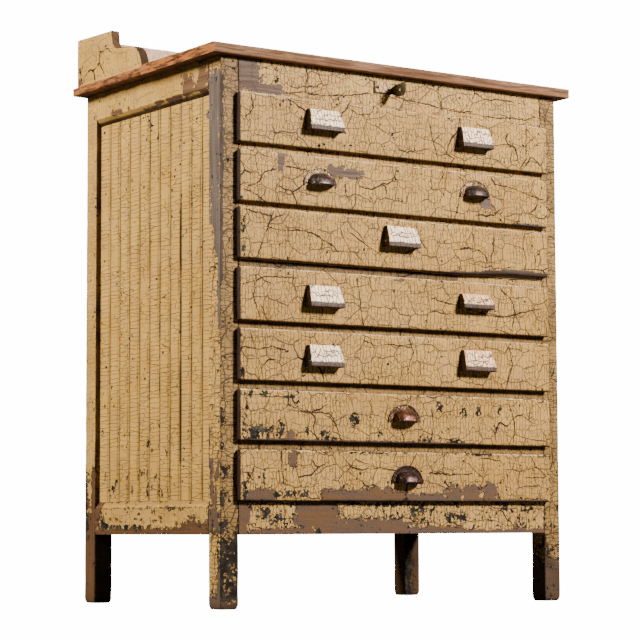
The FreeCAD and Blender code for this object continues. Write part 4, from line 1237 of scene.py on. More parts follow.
def along_x(outline, way):
    """Outline points (y, z) at one place along x."""
    return np.stack([np.full(len(outline), way), outline[:, 0], outline[:, 1]], axis=1)


front_top = carried(top_section[::-1], -TOP_HALF, TOP_HALF, along_x, spacing=0.008, step_length=0.008,
                    seed=61, worn=0.0008)
rear_top = board((-TOP_HALF, TOP_JOINT + BOARD_GAP, CASE_TOP), (TOP_HALF, TOP_BACK, REAR_HIGH), TOP_EASE,
                 0.010, grain_axis=0, seed=62, worn=0.0009)
END_GRAIN_DEPTH = 0.004
END_GRAIN_FADE = 0.003
for shape in (front_top, rear_top):
    from_end = np.abs(shape["points"][:, 0]) - TOP_HALF + END_GRAIN_DEPTH
    shape["tint"] = np.clip(from_end / END_GRAIN_FADE, 0, 1)
dress("top_front_board_worn", [front_top], top_wood, "case", ["top_front_board"])
dress("top_rear_board_worn", [rear_top], top_wood, "case", ["top_rear_board"])

# %% [markdown]
# The gallery's brackets are sawn to a block, a cove, a step and a long nose. A section carried along a
# line can't change its height, so here each ring rises and falls with the sawn edge.

# %% Gallery
GALLERY_OUT = 0.4725
GALLERY_IN = 0.4515
GALLERY_HEIGHT = 0.115
BLOCK_FRONT_HEIGHT = 0.110
BLOCK_REACH = 0.158
COVE_CENTRE = (0.190, 0.094)
COVE_RADIUS = 0.029
NOSE_START = 0.248
NOSE_REACH = 0.047
NOSE_HEIGHT = 0.058
BRACKET_MIDDLE = 0.462
BRACKET_BEND = 0.002
BRACKET_WEAR = 0.0006


def gallery_edge():
    """The bracket's upper edge as (reach from the back, height): block, cove, step and nose."""
    block = np.linspace((0.0, GALLERY_HEIGHT), (BLOCK_REACH, BLOCK_FRONT_HEIGHT), 22)
    drop = np.linspace((0.1588, 0.106), (0.1605, 0.096), 4)
    cove = np.array(arc(COVE_CENTRE, COVE_RADIUS, 180, 270, 9))
    slope = np.linspace((0.196, 0.0643), (0.243, 0.0586), 8)
    sweep = np.radians(np.linspace(90, 3, 16))
    nose = np.stack([NOSE_START + NOSE_REACH * np.cos(sweep), NOSE_HEIGHT * np.sin(sweep)], axis=1)
    return np.concatenate([block, drop, cove, slope, nose])


def skin(rings, seed, rim):
    """Closed surface through rings of points (rings, points, 3), with fans at both ends."""
    faces = tube_faces(*rings.shape[:2])
    points = np.concatenate([rings.reshape(-1, 3), rings[[0, -1]].mean(axis=1)])
    uv = points[:, [1, 2]][faces] + points[:, [0, 0]][faces] + seed * 0.731
    return {"points": points, "faces": faces, "uv": uv, "rim": np.concatenate([rim.reshape(-1), [0, 0]])}


def bracket(seed):
    """The left bracket: at each place along its upper edge, a ring round its thickness."""
    edge = gallery_edge()
    rise = np.linspace(0, 1, 14)
    bend = BRACKET_BEND
    thick = GALLERY_OUT - GALLERY_IN
    down = [(0.0, share, 0.0) for share in rise[::-1]]
    up = [(thick, share, 0.0) for share in rise]
    crown = [(thick - bend * 0.3, 1.0, bend * 0.7), (thick - bend, 1.0, bend), (thick / 2, 1.0, bend),
             (bend, 1.0, bend), (bend * 0.3, 1.0, bend * 0.7)]
    sole = [(thick / 2, 0.0, 0.0)]
    profile = np.array(down + sole + up + crown)
    rings = np.empty((len(edge), len(profile), 3))
    height = np.maximum(edge[:, 1] - bend, 0.001)
    rings[..., 0] = -GALLERY_OUT + profile[None, :, 0]
    rings[..., 1] = TOP_BACK - edge[:, 0, None]
    rings[..., 2] = REAR_HIGH + profile[None, :, 1] * height[:, None] + profile[None, :, 2]
    from_top = edge[:, 1, None] - (rings[..., 2] - REAR_HIGH)
    rim = np.clip(1 - from_top / 0.014, 0, 1)
    made = skin(rings, seed, rim)
    points = made["points"]
    inwards = np.where(points[:, 0] < -BRACKET_MIDDLE, 1, -1)
    points[:, 0] += BRACKET_WEAR * (0.5 + 0.5 * lumps(points, 0.03, seed)) * inwards
    return made


# %% [markdown]
# A branching crack runs down the left bracket, and both are bare along the crown. The board between
# them has a paler, pinker paint.

# %% Wear of the gallery
left_bracket = bracket(65)
branching = [[(0.231, 1.266), (0.222, 1.245), (0.226, 1.225), (0.202, 1.197)],
             [(0.222, 1.245), (0.19, 1.252), (0.17, 1.24)],
             [(0.226, 1.225), (0.25, 1.21), (0.27, 1.215), (0.30, 1.20)], [(0.25, 1.21), (0.245, 1.185)]]
along, up = left_bracket["points"][:, 1], left_bracket["points"][:, 2]
left_bracket["crack_side"], near = crack_field(along, up, branching)
left_bracket["crack_near"] = CRACK_REACH - near
wear_side(left_bracket, bare=[(0.316, 1.19, 0.010, 0.010)], black=[(0.315, 1.215, 0.004, 0.012)])
COVE_BACK = 0.172
NOSE_BACK = 0.075
on_crown = (left_bracket["rim"] > 0.9) & (along < COVE_BACK)
left_bracket["bare"] = np.where(on_crown, 0.45, left_bracket["bare"])
left_bracket["grime"] = np.where(on_crown, np.where(along < NOSE_BACK, 0.75, 0.35), 0.0)
right_bracket = mirror_x(left_bracket)
right_bracket["crack_near"] = np.zeros(len(along))
dress("gallery_brackets_painted", [left_bracket, right_bracket], paint_side, "case", ["gallery_sides"])
low, high = corners("gallery_back")
back_board = board(low, high, 0.002, 0.010, seed=66, worn=0.0008)
wear_side(back_board)
dress("gallery_back_painted", [back_board], paint_pink, "case", ["gallery_back"])

# %% [markdown]
# ## The drawers
# Every front is one thick board that laps over the case, with a tongue behind it inside the opening.
# What differs is the wear: each has its own bare places, black flecks and long cracks, given here as
# places (x, z) on its face.

# %% Wear of the seven fronts
FRONT_WEAR = {
    1: {"bare": [],
        "black": [(-0.30, 1.04, 0.002, 0.003)],
        "cracks": [[(-0.160, 1.055), (-0.150, 1.068), (-0.136, 1.0845)],
                   [(0.081, 1.059), (0.088, 1.03), (0.10, 0.99)],
                   [(-0.39, 1.075), (-0.385, 1.05), (-0.408, 1.025)],
                   [(-0.30, 1.08), (-0.27, 1.065), (-0.25, 1.055)],
                   [(-0.13, 1.07), (-0.11, 1.062), (-0.085, 1.066), (-0.07, 1.083)],
                   [(0.36, 1.075), (0.38, 1.055), (0.355, 1.04), (0.36, 1.01), (0.34, 0.985)]]},
    2: {"bare": [(-0.316, 0.939, 0.009, 0.018), (-0.155, 0.933, 0.046, 0.012), (-0.12, 0.936, 0.022, 0.006),
                 (0.237, 0.893, 0.020, 0.012), (0.36, 0.853, 0.045, 0.003)],
        "black": [(0.33, 0.855, 0.012, 0.003), (0.37, 0.855, 0.02, 0.003)],
        "cracks": [[(0.265, 0.941), (0.317, 0.936), (0.361, 0.924), (0.405, 0.916)],
                   [(0.255, 0.893), (0.278, 0.872), (0.300, 0.862), (0.336, 0.860)],
                   [(0.160, 0.950), (0.178, 0.938), (0.195, 0.930)],
                   [(0.163, 0.905), (0.158, 0.88), (0.150, 0.856)],
                   [(-0.408, 0.877), (-0.38, 0.868), (-0.355, 0.853)],
                   [(-0.150, 0.905), (-0.145, 0.88), (-0.13, 0.86)],
                   [(-0.330, 0.925), (-0.36, 0.915), (-0.37, 0.895), (-0.395, 0.885)],
                   [(-0.30, 0.933), (-0.26, 0.930), (-0.24, 0.928)]]},
    3: {"bare": [(0.215, 0.7305, 0.030, 0.004), (0.30, 0.7305, 0.060, 0.006), (0.38, 0.7305, 0.035, 0.007)],
        "black": [(0.16, 0.745, 0.004, 0.003), (-0.41, 0.80, 0.004, 0.02), (-0.41, 0.75, 0.004, 0.006)],
        "cracks": [[(-0.336, 0.832), (-0.352, 0.795), (-0.374, 0.739)],
                   [(-0.345, 0.798), (-0.31, 0.795), (-0.275, 0.799), (-0.240, 0.796), (-0.215, 0.786),
                    (-0.183, 0.772), (-0.17, 0.76)],
                   [(-0.405, 0.833), (-0.37, 0.829), (-0.342, 0.824)], [(-0.21, 0.775), (-0.215, 0.745)],
                   [(0.15, 0.785), (0.185, 0.79), (0.22, 0.787), (0.235, 0.775), (0.24, 0.76)],
                   [(0.20, 0.826), (0.205, 0.80), (0.20, 0.782)],
                   [(0.345, 0.80), (0.355, 0.775), (0.35, 0.75)],
                   [(0.05, 0.80), (0.07, 0.78), (0.075, 0.765)]]},
    4: {"bare": [(-0.010, 0.706, 0.012, 0.002)],
        "black": [(-0.004, 0.7065, 0.010, 0.002)],
        "cracks": [[(-0.412, 0.677), (-0.385, 0.683), (-0.357, 0.695), (-0.278, 0.696)],
                   [(-0.120, 0.706), (-0.112, 0.66), (-0.104, 0.605)],
                   [(0.083, 0.672), (0.13, 0.662), (0.16, 0.66), (0.232, 0.642), (0.29, 0.64), (0.35, 0.655),
                    (0.407, 0.667)],
                   [(0.28, 0.70), (0.31, 0.68), (0.32, 0.65), (0.31, 0.62)],
                   [(-0.38, 0.695), (-0.385, 0.65), (-0.37, 0.61)]]},
    5: {"bare": [],
        "black": [(-0.412, 0.49, 0.004, 0.010)],
        "cracks": [[(-0.41, 0.545), (-0.37, 0.54), (-0.34, 0.548), (-0.30, 0.54)],
                   [(0.02, 0.58), (0.03, 0.55), (0.015, 0.51)],
                   [(-0.10, 0.57), (-0.07, 0.56), (-0.03, 0.565), (0.02, 0.56)],
                   [(0.30, 0.575), (0.31, 0.53), (0.29, 0.48)]]},
    6: {"bare": [(-0.292, 0.362, 0.008, 0.012), (-0.1, 0.3515, 0.3, 0.0015)],
        "black": [(-0.394, 0.448, 0.007, 0.006), (-0.360, 0.447, 0.009, 0.005), (-0.402, 0.425, 0.004, 0.010),
                  (-0.404, 0.405, 0.003, 0.007), (-0.294, 0.443, 0.012, 0.003), (-0.277, 0.434, 0.007, 0.006),
                  (-0.340, 0.374, 0.006, 0.007), (-0.400, 0.358, 0.014, 0.006), (-0.213, 0.364, 0.008, 0.006),
                  (-0.061, 0.368, 0.006, 0.005),
                  (-0.382, 0.366, 0.020, 0.012), (-0.355, 0.364, 0.010, 0.010), (-0.318, 0.378, 0.012, 0.014),
                  (-0.205, 0.362, 0.014, 0.010), (-0.19, 0.356, 0.012, 0.006), (-0.127, 0.398, 0.010, 0.012),
                  (-0.25, 0.372, 0.004, 0.006), (0.10, 0.432, 0.010, 0.008), (0.17, 0.42, 0.008, 0.010),
                  (0.21, 0.425, 0.006, 0.01), (0.27, 0.43, 0.006, 0.006), (0.06, 0.36, 0.02, 0.005),
                  (0.15, 0.356, 0.02, 0.004), (-0.408, 0.38, 0.004, 0.02)],
        "cracks": [[(-0.365, 0.442), (-0.294, 0.443), (-0.274, 0.420), (-0.24, 0.412), (-0.192, 0.411),
                    (-0.175, 0.385), (-0.164, 0.354)],
                   [(0.30, 0.44), (0.315, 0.40), (0.31, 0.36)], [(0.08, 0.43), (0.085, 0.39), (0.078, 0.36)]]},
    7: {"bare": [(-0.365, 0.238, 0.034, 0.012), (-0.120, 0.238, 0.095, 0.013), (-0.025, 0.234, 0.03, 0.010),
                 (0.06, 0.232, 0.05, 0.010), (0.135, 0.240, 0.028, 0.016), (0.19, 0.243, 0.026, 0.019),
                 (0.245, 0.247, 0.018, 0.022), (0.33, 0.226, 0.08, 0.003), (-0.287, 0.312, 0.011, 0.016)],
        "black": [(-0.395, 0.275, 0.006, 0.008), (-0.360, 0.275, 0.003, 0.016), (-0.30, 0.240, 0.05, 0.006),
                  (-0.405, 0.245, 0.005, 0.02), (0.02, 0.229, 0.02, 0.004), (0.36, 0.229, 0.04, 0.003),
                  (-0.09, 0.328, 0.05, 0.001), (0.22, 0.329, 0.03, 0.002)],
        "cracks": [[(-0.315, 0.331), (-0.315, 0.29), (-0.311, 0.262)],
                   [(-0.24, 0.31), (-0.225, 0.295), (-0.20, 0.305)],
                   [(-0.225, 0.295), (-0.24, 0.28), (-0.27, 0.275)],
                   [(0.075, 0.287), (0.13, 0.284), (0.19, 0.285)],
                   [(0.36, 0.328), (0.375, 0.305), (0.405, 0.283)], [(0.345, 0.279), (0.40, 0.279)],
                   [(0.12, 0.33), (0.095, 0.315), (0.075, 0.30)],
                   [(-0.15, 0.30), (-0.11, 0.292), (-0.06, 0.296), (-0.02, 0.291)]]},
}

# %% [markdown]
# A front is a thick board with rounded edges. Its lower edge is darkened by dirt and painted shade,
# its left end by painted shade over bare wood, and its crest is paled by a painted highlight. Drawer 3
# is torn along its lower right edge, and dark wood shows there.

# %% Drawer fronts
UNDER_DEPTH = 0.0042
UNDER_FADE = 0.0022
END_SHADE = 0.0032
END_FADE = 0.0015
CREST_DEPTH = 0.0036
CREST_FADE = 0.0018
FRONT_FACE = -0.288
FRONT_BACK = -0.2723
FRONT_HALF = 0.4195
TONGUE_HALF = 0.3985
FRONT_HEIGHT = 0.108
EDGE_OVERLAP = 0.004
FRONT_RISES = [(0.0, 0.0), (0.0, 0.0025), (0.005, 0.007), (0.0, 0.006), (0.0, 0.0025), (0.0, 0.0), (0.0, 0.0)]
TONGUE_TOP = 0.101
TONGUE_DEPTH = 0.010
TONGUE_GAP = 0.0003
WORN_DRAWER = 3
WORN_EDGE = [(0.185, 0.0), (0.300, 0.0065), (0.4195, 0.007)]
TEAR_HEIGHT = [(0.05, 0.0), (0.185, 0.0055), (0.300, 0.0125), (0.4195, 0.0095)]
TEAR_LOWEST = 0.001
TEAR_EDGE = 0.0015
TEAR_FADE = 0.011
RISE_TOP = 0.045
RISE_LENGTH = 0.040
FRONT_RADIUS = 0.0038


def front_floor(number):
    """Height of a front's lower edge; drawer 1 is at the top."""
    return OPENINGS_BOTTOM + (DRAWER_COUNT - number) * DRAWER_PITCH - EDGE_OVERLAP


def wear_torn_edge(slab, slab_low):
    """Raise the worn drawer's lower edge at its right and strip the band above; gives rise and dirt.

    Both heights follow the board's length by straight stretches between the listed places. The rise
    fades out towards RISE_TOP, so the face above stays flat.
    """
    points = slab["points"]
    edge = np.interp(points[:, 0], *zip(*WORN_EDGE))
    points[:, 2] += edge * np.clip((slab_low + RISE_TOP - points[:, 2]) / RISE_LENGTH, 0, 1)
    above = points[:, 2] - slab_low - edge
    tear = np.interp(points[:, 0], *zip(*TEAR_HEIGHT)) * (1 + 0.25 * lumps(points, 0.012, 5))
    torn = np.clip((tear - above) / TEAR_EDGE + 0.5, 0, 1) * (tear > TEAR_LOWEST)
    slab["bare"] = np.maximum(slab["bare"], 2 * torn - 1)
    return edge, torn * (0.88 - 0.30 * np.clip(above / TEAR_FADE, 0, 1))


for number, wear in FRONT_WEAR.items():
    cad = "drawer_%d_front" % number
    floor = front_floor(number)
    slab_low = floor + FRONT_RISES[number - 1][0]
    slab_high = floor + FRONT_HEIGHT + FRONT_RISES[number - 1][1]
    slab = board((-FRONT_HALF, FRONT_FACE, slab_low), (FRONT_HALF, FRONT_BACK, slab_high),
                 FRONT_RADIUS, 0.004, seed=70 + number, worn=0.0007)
    wear_front(slab, ends_bare=True, **wear)
    points = slab["points"]
    edge, tear_dirt = wear_torn_edge(slab, slab_low) if number == WORN_DRAWER else (0.0, 0.0)
    # Dirt and painted shade darken the band along the lower edge, where the rounded edge turns down from the
    # light; painted shade darkens the left end.
    under = np.clip((slab_low + edge + UNDER_DEPTH - points[:, 2]) / UNDER_FADE, 0, 1)
    end = np.clip((-FRONT_HALF + END_SHADE - points[:, 0]) / END_FADE, 0, 1)
    slab["grime"] = np.maximum(np.maximum(0.85 * under, 0.80 * end), tear_dirt)
    # A painted highlight pales the crest along the top edge.
    crest_highlight = np.clip((points[:, 2] - slab_high + CREST_DEPTH) / CREST_FADE, 0, 1)
    slab["coat"] = crest_highlight * (1 - end) * np.clip(0.75 + 0.5 * lumps(points, 0.05, number), 0, 1)
    tongue = board((-TONGUE_HALF, FRONT_BACK, floor + EDGE_OVERLAP + TONGUE_GAP),
                   (TONGUE_HALF, FRONT_BACK + TONGUE_DEPTH, floor + TONGUE_TOP), 0.001, 0.02, seed=80 + number)
    body = "drawer_%d" % number
    dress(cad + "_painted", [slab], paint_drawer, body, [cad])
    dress(cad + "_tongue", [tongue], drawer_wood["x"], body, [cad])

# %% [markdown]
# ## The pulls
# A bin pull is a bent iron wedge: a narrow ledge on top, a slightly bulging face that leans out, and
# a short upright lip. Its skin is a stack of U-shaped rings that follow that side view, closed on
# top by rings that shrink to the wall; Solidify gives the wall its thickness.

# %% Bin pulls: side view and plan
BIN_LIP_WIDTH = 0.088
BIN_TOP_WIDTH = 0.078
BIN_REACH = 0.0240
BIN_LEDGE = 0.011
BIN_LIP = 0.009
BIN_CORNER = 0.0022
BIN_HEIGHT = 0.047
LOW_BIN_HEIGHT = 0.034
BIN_WALL = 0.002
BIN_BULGE = 0.0008
LEDGE_ROUND = 0.003
CLOSING_SIZES = (0.02, 0.3, 0.6, 0.85, 0.97)
LIP_RINGS = 5
LEDGE_RINGS = 9
LEDGE_SIDE = 6
CHEEK_SIDE = 10


def bin_side_view(height):
    """(reach, z) down the pull: ledge edge rounded, bulging face, lip."""
    ledge = arc((BIN_LEDGE - LEDGE_ROUND, height - LEDGE_ROUND), LEDGE_ROUND, 90, 40, 5)
    share = np.linspace(0, 1, 22)[1:-1]
    start, end = np.array(ledge[-1]), np.array([BIN_REACH, BIN_LIP])
    away = np.array([end[1] - start[1], start[0] - end[0]])
    away = -away / np.linalg.norm(away)
    face = start + (end - start) * share[:, None] + away * (BIN_BULGE * np.sin(np.pi * share))[:, None]
    lip = np.stack([np.full(LIP_RINGS, BIN_REACH), np.linspace(BIN_LIP, 0, LIP_RINGS)], axis=1)
    return np.concatenate([np.array(ledge), face, lip])


def u_ring(half, reach, z, across=30):
    """A U in plan: along one cheek, round a corner, across the face and back."""
    bend = min(BIN_CORNER, reach * 0.45)
    cheek = np.linspace(0, reach - bend, 8)[:-1]
    turn = np.radians(np.linspace(0, 90, 5))
    corner = np.stack([-half + bend - bend * np.cos(turn), -(reach - bend) - bend * np.sin(turn)], axis=1)
    face = np.linspace(-half + bend, 0, across // 2)[1:]
    left = np.concatenate([np.stack([np.full(len(cheek), -half), -cheek], axis=1), corner,
                           np.stack([face, np.full(len(face), -reach)], axis=1)])
    right = left[::-1][1:] * np.array([-1.0, 1.0])
    plan = np.concatenate([left, right])
    return np.concatenate([plan, np.full((len(plan), 1), z)], axis=1)


# %% [markdown]
# The skin stacks those rings. Its paint is whole, thin or gone by zones, which follow from how far
# round a ring and how far down the stack a point lies. Three long cracks cross the face.

# %% Bin pulls: skin and paint
def bin_creases(halves, height, seed):
    """Three long cracks across the face, which sway up and down by seeded random steps."""
    across = np.linspace(-halves[-1], halves[-1], 12)
    sway = np.random.default_rng(seed).uniform(-1, 1, (3, 12))
    return [np.stack([across, height * 0.50 + 0.0035 * sway[0]], axis=1)[2:9],
            np.stack([across, BIN_LIP + 0.0010 * sway[1]], axis=1),
            np.stack([across, height * 0.72 + 0.0040 * sway[2]], axis=1)[5:]]


def bin_skin(height, x, z, seed):
    """Grid of rings from the wall's middle over the ledge and down to the lip, and its paint.

    The paint is whole on the face, thinner on the ledge and lip, and nearly gone at the cheeks.
    """
    view = bin_side_view(height)
    shares = np.clip((view[:, 1] - BIN_LIP) / (height - BIN_LIP), 0, 1)
    halves = (BIN_LIP_WIDTH - (BIN_LIP_WIDTH - BIN_TOP_WIDTH) * shares) / 2
    rings = [u_ring(halves[0] * size, view[0, 0] * size, height) for size in CLOSING_SIZES]
    rings += [u_ring(half, reach, level) for half, (reach, level) in zip(halves, view)]
    grid = np.stack(rings)
    rows, columns = grid.shape[:2]
    faces = grid_faces(rows, columns)[:, ::-1]
    points = grid.reshape(-1, 3)
    way = np.tile(np.arange(columns), rows)
    level = np.repeat(np.arange(rows), columns)
    in_front = (way >= CHEEK_SIDE) & (way < columns - CHEEK_SIDE)
    on_face = in_front & (level >= len(CLOSING_SIZES)) & (level < rows - LIP_RINGS)
    on_ledge = (level < LEDGE_RINGS) & (way >= LEDGE_SIDE) & (way < columns - LEDGE_SIDE)
    coat = np.where(on_face, 1.0, np.where(on_ledge, 0.75, 0.12))
    coat = np.where((level >= rows - LIP_RINGS) & (way >= CHEEK_SIDE), 0.80, coat)
    coat = np.where(level >= rows - 1, 0.20, coat)
    coat = np.where(way >= columns - CHEEK_SIDE, 0.35, coat)
    side, near = crack_field(points[:, 0], points[:, 2], bin_creases(halves, height, seed))
    near = np.where(in_front, CRACK_REACH - near, 0.0)
    lip_dirt = 0.97 + 0.03 * np.random.default_rng(seed + 50).random()
    grime = np.clip((BIN_LIP + 0.0025 - points[:, 2]) / 0.002, 0, lip_dirt)
    at_cheek = np.abs(points[:, 0]) > halves[0] - 0.001
    uv = np.stack([points[:, 0] + 0.3 * at_cheek, points[:, 2] - points[:, 1] * 0.8], axis=1)
    dents = 0.0005 * lumps(points, 0.012, seed) + 0.0004 * lumps(points, 0.03, seed + 1)
    points = points + np.array([0.0, 1.0, 0.0]) * (np.abs(dents) * (points[:, 1] < -0.004))[:, None]
    points = points + np.array([x, FRONT_FACE, z])
    return {"points": points, "faces": faces, "uv": uv[faces] + seed * 0.37, "coat": coat,
            "crack_side": side, "crack_near": near, "grime": grime}


def thicken(piece, thickness):
    """Give an open skin its wall, inwards, with bare dark iron inside and along the rim."""
    piece.data.materials.append(dark_iron)
    wall = piece.modifiers.new("wall", "SOLIDIFY")
    wall.material_offset = 1
    wall.material_offset_rim = 1
    wall.thickness = thickness
    wall.offset = -1.0
    wall.use_even_offset = False


# %% [markdown]
# Eleven pulls of two kinds have ended up on the seven drawers. Each is given by its kind, its place
# along the drawer, its height over the front's lower edge, and its coat.

# %% Which drawer has which pull
PULLS = {1: [("bin", -0.2095, 0.0385, "white"), ("bin", 0.2015, 0.0385, "white")],
         2: [("cup", -0.216, 0.046, "gun"), ("cup", 0.206, 0.054, "dark")],
         3: [("bin", -0.0065, 0.0515, "white")],
         4: [("bin", -0.2115, 0.035, "white"), ("low bin", 0.1995, 0.052, "cream")],
         5: [("bin", -0.2115, 0.0335, "white"), ("bin", 0.2025, 0.0385, "cream")],
         6: [("cup", 0.004, 0.047, "copper")],
         7: [("cup", 0.011, 0.0395, "brown")]}
COATS = {"white": white_iron, "cream": cream_iron, "gun": dark_iron, "dark": dark_iron, "copper": rusty_iron,
         "brown": brown_iron}
print("pulls", sum(len(pulls) for pulls in PULLS.values()))

# %% [markdown]
# A cup pull has a half-oval flange with a raised rim, a groove, and a dome like a quarter of an egg.
# The flange is swept by angle and by reach from the rim to the dome; the dome is swept by angle
# along its length and from the wall to its lip, where it turns over and back up the inside.

# %% Cup pulls
CUP_HALF = 0.043
CUP_HEIGHT = 0.040
RIM_WIDTH = 0.0032
RIM_RISE = 0.0034
FLANGE_RISE = 0.0018
DOME_HALF = 0.0305
DOME_REACH = 0.028
CUP_WALL = 0.0018
SHOULDER = 0.72
DOME_LIP = 0.0007


def cup_flange(seed):
    """Half rings from the wall over the rim, down into the groove and in to the dome."""
    section = [(0.0, 0.0), (0.0, 0.0022), (0.0005, 0.0031), (0.0016, RIM_RISE), (0.0027, 0.0031),
               (RIM_WIDTH, 0.0022), (RIM_WIDTH + 0.0006, FLANGE_RISE)]
    section += [(inward, FLANGE_RISE) for inward in (0.0060, 0.0085, 0.0115, 0.0150)]
    inward, rise = np.array(section).T
    turn = np.linspace(0, np.pi, 49)
    half = CUP_HALF - inward[:, None]
    height = CUP_HEIGHT - inward[:, None]
    x = -half * np.cos(turn)
    z = height * np.sin(turn)
    y = -np.repeat(rise[:, None], len(turn), axis=1)
    grid = np.stack([x, y, z], axis=-1)
    faces = grid_faces(*grid.shape[:2])[:, ::-1]
    points = grid.reshape(-1, 3)
    at_rim = np.repeat((inward < 0.0030) & (inward > 0.0001), len(turn))
    coat = np.where(at_rim, 0.50, 0.66)
    return {"points": points, "faces": faces, "uv": points[:, [0, 2]][faces] + seed * 0.41, "coat": coat}


def cup_dome(seed):
    """Dome: x = -a cos p, y = -r sin p sin t, z = r sin p cos t, then the same, smaller, inside.

    Both cos p and sin p are drawn towards 1 by a power below 1, which squares the dome's shoulders.
    """
    turn = np.linspace(0.02, np.pi - 0.02, 61)
    long_way = np.sign(np.cos(turn)) * np.abs(np.cos(turn)) ** SHOULDER
    bulge = np.sin(turn) ** SHOULDER
    lean = np.radians(np.concatenate([np.linspace(-4, 88, 20), [90.0, 90.0], np.linspace(88, 6, 10)]))
    inner = np.concatenate([np.zeros(20), [0.35, 0.8], np.ones(10)])
    half = DOME_HALF - CUP_WALL * inner
    reach = DOME_REACH - CUP_WALL * inner
    lip = DOME_LIP * np.exp(-((np.degrees(lean) - 84) / 5) ** 2) * (inner < 0.5)
    x = -half[:, None] * long_way
    y = -(reach + lip)[:, None] * bulge * np.sin(lean)[:, None]
    z = reach[:, None] * bulge * np.cos(lean)[:, None]
    grid = np.stack([x, np.minimum(y, 0.0), np.maximum(z, 0.0)], axis=-1)
    faces = grid_faces(*grid.shape[:2])
    points = grid.reshape(-1, 3)
    coat = np.repeat(np.where(np.degrees(lean) < 12, 0.45, 0.0) * (inner == 0), len(turn))
    return {"points": points, "faces": faces, "uv": points[:, [0, 2]][faces] + seed * 0.57 + 0.2, "coat": coat}


# %% [markdown]
# Two slotted screws hold each cup pull by its flange. A head is a shallow cap with a trench across
# it, and every slot points its own way.

# %% Screw heads
SCREW_DOME = 0.0014
SLOT_HALF = 0.00055
SLOT_SLOPE = 0.00018
SLOT_DEPTH = 0.0008


def screw_head(x, y, z, radius, turn, seed):
    """A domed, slotted head: height = cap over the radius, less a trench across the middle."""
    rings = np.concatenate([np.linspace(0.02, 0.92, 13), [1.0, 1.0]])
    way = np.linspace(0, 2 * np.pi, 61)
    across = rings[:, None] * radius * np.cos(way)
    up = rings[:, None] * radius * np.sin(way)
    cap = SCREW_DOME * np.sqrt(np.clip(1 - (rings * 0.92) ** 2, 0, 1))[:, None]
    slot = np.clip((SLOT_HALF - np.abs(across * np.sin(turn) - up * np.cos(turn))) / SLOT_SLOPE, 0, 1)
    cap = cap - SLOT_DEPTH * slot * (rings[:, None] < 0.99)
    cap[-1] = 0.0
    grid = np.stack([x + across, y - np.maximum(cap, 0), z + up], axis=-1)
    faces = grid_faces(*grid.shape[:2])
    points = grid.reshape(-1, 3)
    return {"points": points, "faces": faces, "uv": points[:, [0, 2]][faces] + seed}


# %% [markdown]
# Now the pulls go on the fronts. Each is one piece that rides on its drawer; where a drawer has two,
# both stand for the same node of the model.

# %% Setting the pulls
SCREW_REACH = (CUP_HALF - RIM_WIDTH + DOME_HALF) / 2
SCREW_LIFT = 0.0055
PULL_SCREW_RADIUS = 0.0029
MIDDLE_HALF = 0.1
for number, pulls in PULLS.items():
    body = "drawer_%d" % number
    heads = []
    for order, (kind, x, lift, coat) in enumerate(pulls):
        z = front_floor(number) + lift
        side = "left" if x < -MIDDLE_HALF else "right" if x > MIDDLE_HALF else "middle"
        name = "drawer_%d_pull_%s" % (number, side)
        seed = 90 + number * 3 + order
        if kind == "cup":
            shapes = [cup_flange(seed), cup_dome(seed)]
            for shape in shapes:
                shape["points"] = shape["points"] + np.array([x, FRONT_FACE, z])
            dress(name, shapes, COATS[coat], body, ["drawer_%d_pulls" % number])
            heads += [screw_head(x + way * SCREW_REACH, FRONT_FACE - FLANGE_RISE, z + SCREW_LIFT,
                                 PULL_SCREW_RADIUS, 0.5 + seed * way, seed) for way in (-1, 1)]
        else:
            height = LOW_BIN_HEIGHT if kind == "low bin" else BIN_HEIGHT
            pull = dress(name, [bin_skin(height, x, z, seed)], COATS[coat], body,
                         ["drawer_%d_pulls" % number])
            thicken(pull, BIN_WALL)
    if heads:
        dress("drawer_%d_screw_heads" % number, heads, screw_brass, body, ["drawer_%d_screws" % number])

# %% [markdown]
# The lug on the top rail takes a padlock. It is one bent strip: a plate screwed to the rail and a tab
# that stands out with a hole in it. The tab's skin runs from the hole out to its outline, over the
# edge and back, for each angle round the hole.

# %% Lock lug
LUG_LEFT, LUG_RIGHT = -0.061, -0.014
LUG_LOW, LUG_HIGH = 1.119, 1.145
LUG_THICK = 0.0026
TAB_LOW = 1.1105
EYE = (0.0355, 0.0155)
EYE_RADIUS = 0.004
LUG_SCREW_RADIUS = 0.0042
PLATE_SHADOW_RIM = 0.0026
PLATE_SHADOW_FADE = 0.0012
TAB_OUTLINE = [(0.0, 0.011), (0.0, 0.021), (0.017, 0.027), (0.0525, 0.027), (0.056, 0.0235), (0.056, 0.007),
               (0.049, 0.0), (0.028, 0.0)]


def outline_reach(corners_2d, centre, turns):
    """Distance from a point inside an outline to the outline, for each direction.

    The ray c + far * w meets the side a + share * e where far = (a - c) x e / (w x e), with x the
    flat cross product, and share lies between 0 and 1.
    """
    ways = np.stack([np.cos(turns), np.sin(turns)], axis=1)
    reach = np.full(len(turns), np.inf)
    shape = np.array(corners_2d)
    for start, end in zip(shape, np.roll(shape, -1, axis=0)):
        edge = end - start
        offset = start - np.array(centre)
        cross = ways[:, 0] * edge[1] - ways[:, 1] * edge[0]
        cross = np.where(np.abs(cross) < 1e-12, 1e-12, cross)
        far = (offset[0] * edge[1] - offset[1] * edge[0]) / cross
        share = (offset[0] * ways[:, 1] - offset[1] * ways[:, 0]) / cross
        hit = (far > 0) & (share >= -1e-9) & (share <= 1 + 1e-9)
        reach = np.where(hit, np.minimum(reach, far), reach)
    return reach


